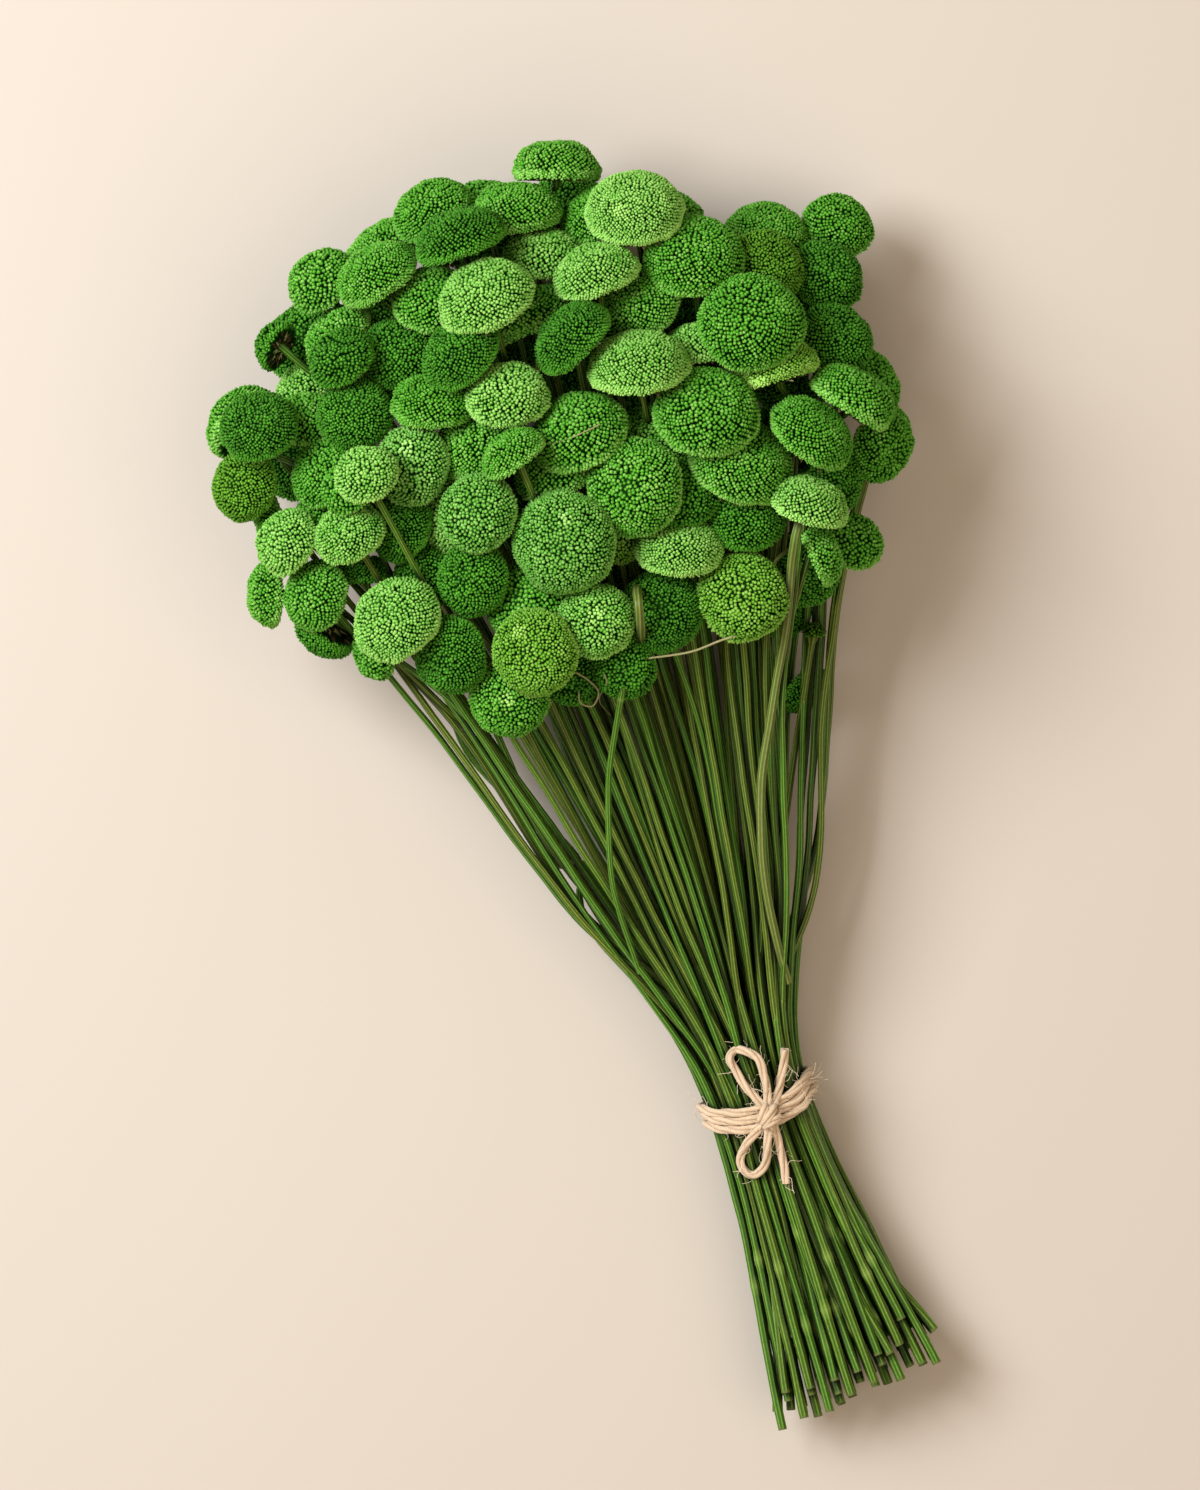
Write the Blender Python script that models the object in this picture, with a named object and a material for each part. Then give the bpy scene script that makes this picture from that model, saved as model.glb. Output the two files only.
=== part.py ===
"""Tied bunch of dyed button flowers, lying on a table, for Blender 4.5.

Metres, +Z up, floor at z = 0, flower heads towards +Y and cut stem ends towards -Y.
Inside the layout functions lengths are millimetres, as the named sizes below are.
Each flower is one grown piece: a domed button head on a bare stem. The stems fan out
from the tie, so each is bent clear of its neighbours, and two or three that are pressed
into each other under the twine share one object.
"""

import math
import random
from collections import namedtuple

import bmesh
import bpy
import numpy as np
from mathutils import Matrix, Vector

BUNCH_NAME = "button_flower_bunch"
MM = 0.001

# Flower head, as shares of its diameter
CROWN = 0.36
UNDERSIDE = 0.12
HALF_THICKNESS = (CROWN + UNDERSIDE) / 2
PLUMP = 1.06
HEAD_SEGMENTS = 10
LARGE_HEAD, LARGE_RINGS = 26.0, 6
MIDDLE_HEAD, MIDDLE_RINGS = 18.5, 5
SMALL_RINGS = 4
FLORET_RELIEF = 0.55

# Stem, radius at the cut end, the tie and the neck
CUT_RADIUS = 1.2
TIE_RADIUS = 1.1
NECK_RADIUS = 0.85
NECK_LENGTH = 10.0
NECK_FLARE = 0.9
FAN_POINTS = 2
NECK_LEAN = 0.35
ARRIVE_FROM_BELOW = 0.7
STEM_POINTS = FAN_POINTS + 4

# Dome of heads: its middle, half spans, the height of its edge and its rise
DOME_X, DOME_Y = -2.0, 98.0
DOME_HALF_WIDTH = 115.0
DOME_HALF_LENGTH = 99.0
DOME_EDGE = 30.0
DOME_RISE = 38.0

# Waist of the bundle under the twine
TIE_X, TIE_Y, TIE_Z = 56.0, -94.0, 17.5
TIE_HEADING = math.radians(108.0)
TIE_HALF_WIDTH = 17.0
TIE_HALF_HEIGHT = 14.0
TIE_COLUMNS = 15
PRESSED_PITCH = 1.35

# Cut ends: middle of the fan, half span along and across it, and how ragged they are
END_X, END_Y, END_Z = 87.0, -182.0, 16.0
END_SPAN_X, END_SPAN_Y = 27.0, 12.0
END_HALF_HEIGHT = 12.5
END_RAGGED = 6.0

# Spreading: clearances between neighbours and how many passes it takes
STEM_GAP = 0.5
HEAD_GAP = 1.7
HEAD_STEM_GAP = 1.4
FLOOR_GAP = 0.25
SPREAD_PASSES = 600
REFRESH = 12

# Twine
STRAND_RADIUS = 1.3
STRAND_PITCH = 2.75
WRAPS = 3
WRAP_POINTS = 14
WRAP_SAG = 5.5
TWINE_GAP = 0.35
KNOT_DX, KNOT_DY, KNOT_LIFT = 2.4, -5.3, 1.0
KNOT_HALF_WIDTH, KNOT_HALF_HEIGHT = 4.4, 3.0
BOW_FOOTPRINT = 3.0
BOW_OVER_WRAPS = 6.5
UPPER_LOOP = [(-0.6, 1.6), (-4.7, 5.9), (-9.3, 12.1), (-12.1, 17.4), (-10.2, 20.2),
              (-6.4, 19.8), (-2.7, 16.4), (-1.0, 9.9), (-0.3, 2.2)]
LOWER_LOOP = [(-0.9, -1.6), (-5.4, -7.1), (-8.7, -13.3), (-7.4, -17.7), (-4.0, -18.8),
              (-1.2, -15.2), (-0.4, -8.7), (0.0, -2.2)]
UPPER_TAIL = [(1.2, 2.0), (3.6, 10.5), (5.0, 20.5)]
LOWER_TAIL = [(0.9, -2.0), (3.4, -9.4), (5.2, -19.8)]

Head = namedtuple("Head", "x y lift diameter heading elevation")

# Heads read from above by eye: middle, height above (+) or below (-) the dome's skin and
# diameter in millimetres, then the way the button faces, in degrees from +X and up.
HEADS = [
    # far left and upper left
    Head(-96, 141, 0, 13, 150, -25),
    Head(-75, 159, 4, 19, 135, 40),
    Head(-59, 167, -2, 24, 125, 15),
    Head(-54, 157, 0, 23, 125, 20),
    Head(-65, 150, -8, 16, 180, 10),
    Head(-74, 142, -7, 20, 135, 20),
    Head(-74, 135, 4, 18, 125, 45),
    Head(-55, 141, 4, 22, 110, 50),
    Head(-49, 153, 3, 22, 90, 45),
    Head(-54, 128, 0, 18, 90, 18),
    Head(-87, 128, -8, 16, 135, 30),
    Head(-85, 118, -3, 17, 95, 40),
    Head(-104, 117, -5, 22, 135, -30),
    Head(-97, 113, 5, 21, 110, 50),
    Head(-68, 118, 5, 20, 120, 65),
    Head(-77, 115, -9, 16, 150, 40),
    Head(-45, 121, 2, 22, 90, 26),
    # far end, top of the dome
    Head(-42, 179, -2, 22, 115, 36),
    Head(-26, 183, -5, 19, 80, 25),
    Head(-8, 189, 0, 23, 90, 3),
    Head(-20, 173, 0, 24, 95, 16),
    Head(-13, 163, 2, 21, 90, 25),
    Head(-33, 165, 3, 24, 110, 14),
    Head(-30, 153, 5, 25, 115, 32),
    Head(2, 167, -9, 16, 110, 30),
    Head(4, 159, 3, 23, 108, 20),
    Head(-18, 148, 5, 25, 110, 3),
    Head(-5, 145, -12, 14, 90, 30),
    Head(-17, 138, 3, 18, 97, 8),
    Head(-1, 137, 5, 23, 135, 20),
    Head(-36, 135, 5, 22, 130, 38),
    Head(6, 179, -6, 23, 125, 15),
    Head(18, 179, 6, 25, 95, 40),
    Head(27, 181, -8, 19, 70, 20),
    Head(34, 167, 9, 26, 90, 45),
    Head(-43, 168, -9, 10, 100, -10),
    Head(17, 151, 3, 23, 130, 40),
    Head(19, 139, -7, 21, 90, 40),
    Head(31, 148, -16, 17, 90, 40),
    # upper right
    Head(44, 163, -14, 17, 80, 30),
    Head(59, 173, -2, 23, 80, 35),
    Head(79, 177, 4, 19, 65, 50),
    Head(56, 165, 4, 21, 45, 50),
    Head(75, 160, 0, 20, 60, 55),
    Head(52, 147, 9, 27, 90, 62),
    Head(64, 144, -7, 16, 60, 40),
    Head(78, 142, 0, 21, 60, 45),
    Head(87, 127, -3, 23, 45, 40),
    Head(82, 122, 1, 24, 58, 8),
    Head(72, 115, 9, 24, 52, 25),
    Head(98, 114, -8, 16, 10, 15),
    Head(90, 110, 0, 19, 330, 45),
    Head(65, 127, -14, 16, 60, 40),
    # middle of the dome
    Head(19, 129, 7, 26, 95, 23),
    Head(39, 136, 5, 22, 100, 8),
    Head(57, 132, 5, 23, 105, 5),
    Head(-22, 127, 5, 22, 92, 42),
    Head(-5, 117, 5, 25, 115, 38),
    Head(-22, 105, 7, 18, 125, 15),
    Head(-8, 101, 2, 22, 110, 25),
    Head(-30, 113, 2, 24, 115, 40),
    Head(19, 113, 0, 23, 100, 40),
    Head(39, 119, 7, 27, 90, 48),
    Head(13, 98, 6, 25, 170, 70),
    Head(49, 104, 6, 27, 65, 42),
    Head(32, 95, 2, 21, 95, 60),
    Head(49, 87, 0, 21, 90, 52),
    Head(67, 92, 7, 21, 72, 18),
    # right side near the stems
    Head(69, 79, 0, 16, 25, 5),
    Head(82, 82, 0, 17, 60, 45),
    Head(78, 98, -11, 17, 330, 45),
    Head(67, 71, -11, 19, 300, 50),
    Head(69, 33, -32, 14, 320, 20),
    Head(65, 56, -26, 14, 300, 40),
    # front slope above the stems
    Head(-7, 79, 9, 26, 200, 82),
    Head(13, 82, -9, 15, 0, 70),
    Head(31, 79, 6, 23, 90, 30),
    Head(27, 63, 2, 22, 100, 75),
    Head(46, 63, 5, 24, 80, 75),
    Head(-16, 60, 2, 23, 140, 65),
    Head(-14, 46, 8, 23, 200, 68),
    Head(4, 55, 5, 20, 90, 75),
    Head(11, 39, 5, 16, 270, 65),
    Head(-3, 39, -11, 16, 270, 60),
    Head(-20, 32, 5, 21, 250, 65),
    Head(21, 51, -14, 14, 270, 50),
    Head(-17, 88, -12, 17, 150, 60),
    # left side
    Head(-31, 89, 8, 21, 160, 68),
    Head(-34, 69, 5, 20, 180, 60),
    Head(-48, 75, -4, 18, 200, 50),
    Head(-52, 105, 9, 21, 170, 65),
    Head(-42, 90, -3, 22, 165, 45),
    Head(-58, 82, -5, 19, 160, 45),
    Head(-74, 82, 6, 19, 120, 45),
    Head(-81, 88, -2, 19, 125, 30),
    Head(-86, 79, 3, 18, 150, 45),
    Head(-103, 98, 4, 19, 170, 55),
    Head(-97, 85, -7, 15, 200, 10),
    Head(-76, 101, 0, 22, 130, 40),
    Head(-74, 97, 6, 14, 150, 50),
    Head(-66, 98, 10, 16, 110, 50),
    Head(-94, 63, 0, 18, 178, 10),
    Head(-83, 62, 2, 19, 165, 50),
    Head(-79, 54, -8, 17, 230, -25),
    Head(-66, 69, -20, 14, 95, 5),
    Head(-55, 55, 9, 24, 130, 50),
    Head(-42, 45, 0, 21, 200, 55),
    Head(-65, 45, -10, 14, 200, 30),
]

# Heads out of sight under the bunch, which it rests on: the first three are pressed flat
UNDER_HEADS = [
    Head(-66, 96, 0, 23, 165, -38),
    Head(66, 112, 0, 23, 60, -38),
    Head(0, 158, 0, 22, 105, -38),
    Head(-36, 134, 0, 21, 130, -30),
    Head(36, 142, 0, 21, 80, -30),
    Head(32, 100, 0, 20, 70, -35),
    Head(60, 72, 0, 19, 330, -25),
]
RESTING_HEADS = 3
RESTING_HEIGHT = 0.30
PRESSED_DEPTH = 1.4


def unit(vector):
    """Return the vector at length one."""
    return vector / math.sqrt(float(vector @ vector))


def head_axis(head):
    """Return the direction that a button faces."""
    heading = math.radians(head.heading)
    rise = math.radians(head.elevation)
    level = math.cos(rise)
    return np.array([level * math.cos(heading), level * math.sin(heading), math.sin(rise)])


def dome_height(x, y):
    """Return the height of the dome's skin of head middles."""
    across = (x - DOME_X) / DOME_HALF_WIDTH
    along = (y - DOME_Y) / DOME_HALF_LENGTH
    return DOME_EDGE + DOME_RISE * math.sqrt(max(0.0, 1.0 - across * across - along * along))


def head_start(head, hidden):
    """Return where a head's middle is before the bunch is spread."""
    if hidden:
        return np.array([head.x, head.y, PLUMP * head.diameter * RESTING_HEIGHT])
    return np.array([head.x, head.y, dome_height(head.x, head.y) + head.lift])


def tie_frame():
    """Return the waist's middle and its directions along, across and up the bundle."""
    middle = np.array([TIE_X, TIE_Y, TIE_Z])
    along = np.array([math.cos(TIE_HEADING), math.sin(TIE_HEADING), 0.0])
    across = np.array([math.sin(TIE_HEADING), -math.cos(TIE_HEADING), 0.0])
    return middle, along, across, np.array([0.0, 0.0, 1.0])


def waist_places(starts):
    """Give each flower its place in the waist, so that the stems fan out without crossing.

    Returns the place across and up, each from -1 to 1, and the flowers of each column.
    """
    middle, along, across, _ = tie_frame()
    reach = starts - middle
    forward = reach @ along
    fan = np.arctan2(reach @ across, forward)
    slope = reach[:, 2] / np.hypot(reach @ across, forward)
    order = np.argsort(fan, kind="stable")
    offsets = [(2 * column + 1) / TIE_COLUMNS - 1 for column in range(TIE_COLUMNS)]
    heights = [math.sqrt(1 - offset * offset) for offset in offsets]
    places = np.zeros((len(starts), 2))
    columns = []
    taken = 0
    filled = 0.0
    for offset, height in zip(offsets, heights):
        filled += height
        last = round(len(starts) * filled / sum(heights))
        members = sorted(order[taken:last].tolist(), key=lambda flower: slope[flower])
        for rank, flower in enumerate(members):
            places[flower] = offset, height * (2 * (rank + 0.5) / len(members) - 1)
        columns.append(members)
        taken = last
    return places, columns


def group_neighbours(columns):
    """Pair the flowers that lie on each other in the waist, with three in an odd column."""
    groups = []
    for members in columns:
        pairs = len(members) // 2
        for pair in range(pairs):
            first = 2 * pair
            last = len(members) if pair == pairs - 1 else first + 2
            groups.append(members[first:last])
    return groups


def hermite(start, leave, end, arrive, share):
    """Return the point at a share of a curve with a given start, end and slopes."""
    s2 = share * share
    s3 = s2 * share
    return ((2 * s3 - 3 * s2 + 1) * start + (s3 - 2 * s2 + share) * leave
            + (3 * s2 - 2 * s3) * end + (s3 - s2) * arrive)


class Bunch:
    """Places of all flowers: head middles, cut ends, waist points and free stem points."""

    def __init__(self, heads, hidden_from):
        self.heads = heads
        self.count = len(heads)
        self.hidden_from = hidden_from
        self.axes = np.array([head_axis(head) for head in heads])
        self.diameters = np.array([PLUMP * head.diameter for head in heads])
        self.neck_offset = np.array([self.neck_from_head(i) for i in range(self.count)])
        starts = [head_start(head, i >= hidden_from) for i, head in enumerate(heads)]
        self.starts = np.array(starts)
        self.waist, columns = waist_places(self.starts)
        self.groups = group_neighbours(columns)
        self.group_of = np.zeros(self.count, dtype=int)
        for number, members in enumerate(self.groups):
            self.group_of[members] = number
        self.lay_out()
        self.list_stem_points()
        self.list_head_spheres()

    def neck_from_head(self, flower):
        """Return the way from a head's middle to its neck, which hangs a little below it."""
        lean = 0.0 if flower >= self.hidden_from else NECK_LEAN
        underside = self.axes[flower] * HALF_THICKNESS * self.diameters[flower]
        return -underside - unit(self.axes[flower] + np.array([0.0, 0.0, lean])) * NECK_LENGTH

    def lay_out(self):
        """Set the first place of every movable point."""
        middle, along, across, up = tie_frame()
        draw = random.Random(11)
        ends, ties, free = [], [], []
        for flower in range(self.count):
            side, level = self.waist[flower]
            tie = (middle + across * side * TIE_HALF_WIDTH * 0.9
                   + up * level * TIE_HALF_HEIGHT * 0.9)
            end = np.array([END_X + END_SPAN_X * side, END_Y + END_SPAN_Y * side,
                            END_Z + END_HALF_HEIGHT * level])
            end = end + unit(end - tie) * draw.uniform(-END_RAGGED, END_RAGGED)
            neck = self.starts[flower] + self.neck_offset[flower]
            chord = neck - tie
            span = math.sqrt(float(chord @ chord))
            leave = unit(0.5 * along + 0.5 * chord / span) * span
            lean = 0.0 if flower >= self.hidden_from else ARRIVE_FROM_BELOW
            arrive = unit(self.axes[flower] + up * lean) * min(70.0, 0.5 * span)
            for step in range(FAN_POINTS):
                share = (step + 1) / (FAN_POINTS + 0.6)
                free.append(hermite(tie, leave, neck, arrive, share))
            free.append(neck)
            ends.append(end)
            ties.append(tie)
        self.points = np.vstack([self.starts, np.array(ends), np.array(ties), np.array(free)])
        self.targets = self.points.copy()

    def list_stem_points(self):
        """List each stem's points: which movable point carries each, its offset and radius."""
        flowers = np.arange(self.count)
        free = 3 * self.count + flowers[:, None] * (FAN_POINTS + 1) + np.arange(FAN_POINTS + 1)
        ends = np.stack([flowers + self.count, flowers + 2 * self.count], axis=1)
        self.carrier = np.hstack([ends, free, flowers[:, None]]).ravel()
        self.offset = np.zeros((self.count, STEM_POINTS, 3))
        drop = HALF_THICKNESS * self.diameters + NECK_FLARE
        self.offset[:, -1] = -self.axes * drop[:, None]
        self.offset = self.offset.reshape(-1, 3)
        fan_radii = np.linspace(TIE_RADIUS, NECK_RADIUS, FAN_POINTS + 2)[1:]
        self.radius = np.tile([CUT_RADIUS, TIE_RADIUS, *fan_radii, NECK_RADIUS], self.count)
        point = np.arange(self.count * STEM_POINTS).reshape(self.count, STEM_POINTS)
        self.segment = point[:, :-1].ravel()
        self.segment_flower = self.segment // STEM_POINTS
        self.segment_step = self.segment % STEM_POINTS

    def list_head_spheres(self):
        """Fill each head with small spheres that stand for it while the bunch is spread."""
        recipe = [(0.0, 0.0, 0.05, 0.19), (0.0, 0.0, -0.11, 0.14)]
        recipe += [(0.24, 45.0 * turn, 0.02, 0.20) for turn in range(8)]
        recipe += [(0.375, 36.0 * turn, -0.10, 0.13) for turn in range(10)]
        offsets, radii = [], []
        for axis, diameter in zip(self.axes, self.diameters):
            turn = Vector(axis).to_track_quat("Z", "Y").to_matrix()
            for reach, angle, height, size in recipe:
                angle = math.radians(angle)
                local = Vector((reach * math.cos(angle), reach * math.sin(angle), height))
                offsets.append(np.array(turn @ local) * diameter)
                radii.append(size * diameter)
        self.per_head = len(recipe)
        self.sphere_offset = np.array(offsets)
        self.sphere_radius = np.array(radii)
        self.sphere_head = np.repeat(np.arange(self.count), self.per_head)

    def stem_points(self):
        """Return every stem point where it is now."""
        return self.points[self.carrier] + self.offset

    def spheres(self):
        """Return every head sphere where it is now."""
        return self.points[self.sphere_head] + self.sphere_offset

    def segment_pairs(self, reach):
        """List pairs of stem segments of different flowers that are near each other."""
        first, second = np.triu_indices(len(self.segment), 1)
        mates = self.segment_flower[first] == self.segment_flower[second]
        pressed = self.group_of[self.segment_flower[first]] == (
            self.group_of[self.segment_flower[second]])
        near_tie = (self.segment_step[first] <= 1) & (self.segment_step[second] <= 1)
        keep = ~(mates | (pressed & near_tie))
        first, second = first[keep], second[keep]
        where = self.stem_points()
        _, _, gap, _ = nearest(where, self.segment[first], self.segment[second])
        keep = gap < reach
        return self.segment[first[keep]], self.segment[second[keep]]

    def head_pairs(self, reach):
        """List pairs of head spheres of heads that are near each other."""
        middles = self.points[:self.count]
        first, second = np.triu_indices(self.count, 1)
        apart = length(middles[first] - middles[second])
        keep = apart < (self.diameters[first] + self.diameters[second]) / 2 + reach
        return self.sphere_grid(first[keep], second[keep])

    def sphere_grid(self, first, second):
        """Pair each sphere of the first heads with each sphere of the second ones."""
        mine, theirs = np.divmod(np.arange(self.per_head ** 2), self.per_head)
        left = (first[:, None] * self.per_head + mine).ravel()
        right = (second[:, None] * self.per_head + theirs).ravel()
        return left, right

    def head_segment_pairs(self, reach):
        """List pairs of a head sphere and a stem segment of another flower near it."""
        where = self.stem_points()
        heads = np.repeat(np.arange(self.count), len(self.segment))
        steps = np.tile(np.arange(len(self.segment)), self.count)
        keep = self.segment_flower[steps] != heads
        heads, steps = heads[keep], steps[keep]
        gap = point_to_segment(self.points[heads], where, self.segment[steps])[1]
        keep = gap < self.diameters[heads] / 2 + reach
        heads, steps = heads[keep], steps[keep]
        spheres = (heads[:, None] * self.per_head + np.arange(self.per_head)).ravel()
        return spheres, np.repeat(self.segment[steps], self.per_head)

    def spread(self):
        """Move heads and stems apart until neighbours are clear of each other."""
        size = len(self.points)
        weight = np.ones(size)
        weight[:self.count] = 0.5
        for step in range(SPREAD_PASSES):
            if step % REFRESH == 0:
                stems = self.segment_pairs(4.5)
                heads = self.head_pairs(1.5)
                mixed = self.head_segment_pairs(3.0)
            push = np.zeros((size, 3))
            hits = np.zeros(size)
            self.push_stems(stems, push, hits)
            self.push_heads(heads, push, hits)
            self.push_mixed(mixed, push, hits)
            moved = push / np.maximum(hits, 1.0)[:, None] * weight[:, None] * 1.5
            self.points += moved
            self.pull_home(1.0 - step / (0.8 * SPREAD_PASSES))
            self.hold_waist()
            self.hold_above_floor()

    def push_stems(self, pairs, push, hits):
        """Add the moves that part two stems."""
        first, second = pairs
        where = self.stem_points()
        s, t, gap, way = nearest(where, first, second)
        wanted = (self.radius_at(first, s) + self.radius_at(second, t)) + STEM_GAP
        short = np.maximum(wanted - gap, 0.0) / 2
        step = way * short[:, None]
        for start, share, sign in ((first, s, 1.0), (second, t, -1.0)):
            self.share_out(start, share, sign * step, short > 0, push, hits)

    def push_heads(self, pairs, push, hits):
        """Add the moves that part two heads."""
        left, right = pairs
        where = self.spheres()
        way = where[left] - where[right]
        gap = length(way)
        wanted = self.sphere_radius[left] + self.sphere_radius[right] + HEAD_GAP
        close = gap < wanted
        left, right, way, gap = left[close], right[close], way[close], gap[close]
        step = way / gap[:, None] * ((wanted[close] - gap) / 2)[:, None]
        add_to(push, hits, self.sphere_head[left], step)
        add_to(push, hits, self.sphere_head[right], -step)

    def push_mixed(self, pairs, push, hits):
        """Add the moves that part a head and a stem."""
        spheres, segments = pairs
        where = self.stem_points()
        middles = self.spheres()[spheres]
        share, gap, way = point_to_segment(middles, where, segments)
        wanted = self.sphere_radius[spheres] + self.radius_at(segments, share) + HEAD_STEM_GAP
        short = np.maximum(wanted - gap, 0.0) / 2
        close = short > 0
        step = way * short[:, None]
        add_to(push, hits, self.sphere_head[spheres[close]], step[close])
        self.share_out(segments, share, -step, close, push, hits)

    def radius_at(self, start, share):
        """Return a stem's radius at a share of a segment."""
        return self.radius[start] * (1 - share) + self.radius[start + 1] * share

    def share_out(self, start, share, step, close, push, hits):
        """Give a segment's move to the movable points at its two ends."""
        start, share, step = start[close], share[close], step[close]
        for end, part in ((start, 1 - share), (start + 1, share)):
            add_to(push, hits, self.carrier[end], step * (2 * part)[:, None], part)

    def pull_home(self, strength):
        """Draw each point a little towards the place it was laid out at."""
        strength = max(0.0, strength)
        home = self.targets - self.points
        count = self.count
        self.points[:count, :2] += home[:count, :2] * (0.10 * strength)
        self.points[:count, 2] += home[:count, 2] * (0.02 * strength)
        resting = slice(self.hidden_from, self.hidden_from + RESTING_HEADS)
        self.points[resting, 2] = self.targets[resting, 2]
        self.points[count:2 * count] += home[count:2 * count] * (0.04 * strength)
        self.points[2 * count:3 * count] += home[2 * count:3 * count] * (0.01 * strength)
        fan = self.points[3 * count:].reshape(count, FAN_POINTS + 1, 3)
        fan_home = home[3 * count:].reshape(count, FAN_POINTS + 1, 3)
        fan[:, :-1] += fan_home[:, :-1] * (0.02 * strength)
        neck_home = self.points[:count] + self.neck_offset
        fan[:, -1] += (neck_home - fan[:, -1]) * (0.04 + 0.16 * strength)
        self.smooth_stems(0.10 * strength)

    def smooth_stems(self, strength):
        """Straighten the free part of each stem a little."""
        where = self.stem_points().reshape(self.count, STEM_POINTS, 3)
        inner = where[:, 2:2 + FAN_POINTS]
        before = where[:, 1:1 + FAN_POINTS]
        after = where[:, 3:3 + FAN_POINTS]
        fan = self.points[3 * self.count:].reshape(self.count, FAN_POINTS + 1, 3)
        fan[:, :-1] += ((before + after) / 2 - inner) * strength

    def hold_waist(self):
        """Keep the waist points in its plane and oval, and pressed ones into each other."""
        middle, along, across, up = tie_frame()
        ties = self.points[2 * self.count:3 * self.count]
        for members in self.groups:
            for lower, upper in zip(members, members[1:]):
                way = ties[upper] - ties[lower]
                gap = math.sqrt(float(way @ way))
                step = way / gap * ((gap - PRESSED_PITCH) / 2)
                ties[lower] += step
                ties[upper] -= step
        reach = ties - middle
        side = reach @ across / TIE_HALF_WIDTH
        level = reach @ up / TIE_HALF_HEIGHT
        beyond = np.maximum(np.sqrt(side * side + level * level), 1.0)
        side, level = side / beyond, level / beyond
        ties[:] = (middle + across * (side * TIE_HALF_WIDTH)[:, None]
                   + up * (level * TIE_HALF_HEIGHT)[:, None])

    def rests(self, flower):
        """Tell whether a flower is one that the bunch lies on."""
        return self.hidden_from <= flower < self.hidden_from + RESTING_HEADS

    def hold_above_floor(self):
        """Lift whatever has sunk to the floor."""
        where = self.stem_points()
        sunk = self.radius + FLOOR_GAP - where[:, 2]
        for point in np.nonzero(sunk > 0)[0]:
            self.points[self.carrier[point], 2] += sunk[point]
        low = self.spheres()[:, 2] - self.sphere_radius
        lowest = low.reshape(self.count, self.per_head).min(axis=1)
        sunk = FLOOR_GAP + 2 * FLORET_RELIEF - lowest
        for flower in np.nonzero(sunk > 0)[0]:
            if not self.rests(flower):
                self.points[flower, 2] += sunk[flower]

    def stem_of(self, flower):
        """Return one stem's points and radii, from its cut end to its head."""
        part = slice(flower * STEM_POINTS, (flower + 1) * STEM_POINTS)
        return self.stem_points()[part], self.radius[part]


def length(ways):
    """Return the length of each row."""
    return np.sqrt(ways[:, 0] ** 2 + ways[:, 1] ** 2 + ways[:, 2] ** 2)


def dot(first, second):
    """Return the dot product of each pair of rows."""
    return (first[:, 0] * second[:, 0] + first[:, 1] * second[:, 1]
            + first[:, 2] * second[:, 2])


def nearest(where, first, second):
    """Find where pairs of segments come nearest.

    Returns the share along each, the gap and the direction from the second to the first.
    """
    start, other = where[first], where[second]
    run, other_run = where[first + 1] - start, where[second + 1] - other
    apart = start - other
    a, e = dot(run, run), dot(other_run, other_run)
    b, c, f = dot(run, other_run), dot(run, apart), dot(other_run, apart)
    spread = np.maximum(a * e - b * b, 1e-9)
    s = np.clip((b * f - c * e) / spread, 0.0, 1.0)
    t = np.clip((b * s + f) / e, 0.0, 1.0)
    s = np.clip((b * t - c) / a, 0.0, 1.0)
    way = apart + run * s[:, None] - other_run * t[:, None]
    gap = np.maximum(length(way), 1e-6)
    return s, t, gap, way / gap[:, None]


def point_to_segment(points, where, segments):
    """Find where segments come nearest to points: share, gap and direction to the point."""
    start = where[segments]
    run = where[segments + 1] - start
    share = np.clip(dot(points - start, run) / dot(run, run), 0.0, 1.0)
    way = points - start - run * share[:, None]
    gap = np.maximum(length(way), 1e-6)
    return share, gap, way / gap[:, None]


def add_to(push, hits, owners, steps, weights=None):
    """Add moves to the points that own them, and count them."""
    for column in range(3):
        push[:, column] += np.bincount(owners, steps[:, column], len(push))
    hits += np.bincount(owners, weights, len(hits))


def button_mesh(bunch, flower):
    """Model one head: a squashed sphere whose outer points are raised as florets."""
    diameter = bunch.diameters[flower]
    rings = head_rings(diameter)
    mesh = bmesh.new()
    bmesh.ops.create_uvsphere(mesh, u_segments=HEAD_SEGMENTS, v_segments=rings, radius=1.0)
    for vertex in mesh.verts:
        vertex.co = button_point(vertex.co, diameter, rings)
    split_along_valleys(mesh)
    seat = min(mesh.verts, key=lambda vertex: vertex.co.z)
    bmesh.ops.delete(mesh, geom=[seat], context="VERTS")
    turn = Vector(bunch.axes[flower]).to_track_quat("Z", "Y").to_matrix().to_4x4()
    place = Matrix.Translation(Vector(bunch.points[flower]))
    bmesh.ops.transform(mesh, matrix=place @ turn, verts=mesh.verts)
    if bunch.rests(flower):
        for vertex in mesh.verts:
            if vertex.co.z < PRESSED_DEPTH:
                vertex.co.z = 0.0
    return mesh


def head_rings(diameter):
    """Return how many bands a head has from its top to its stem."""
    if diameter >= LARGE_HEAD:
        return LARGE_RINGS
    return MIDDLE_RINGS if diameter >= MIDDLE_HEAD else SMALL_RINGS


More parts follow.
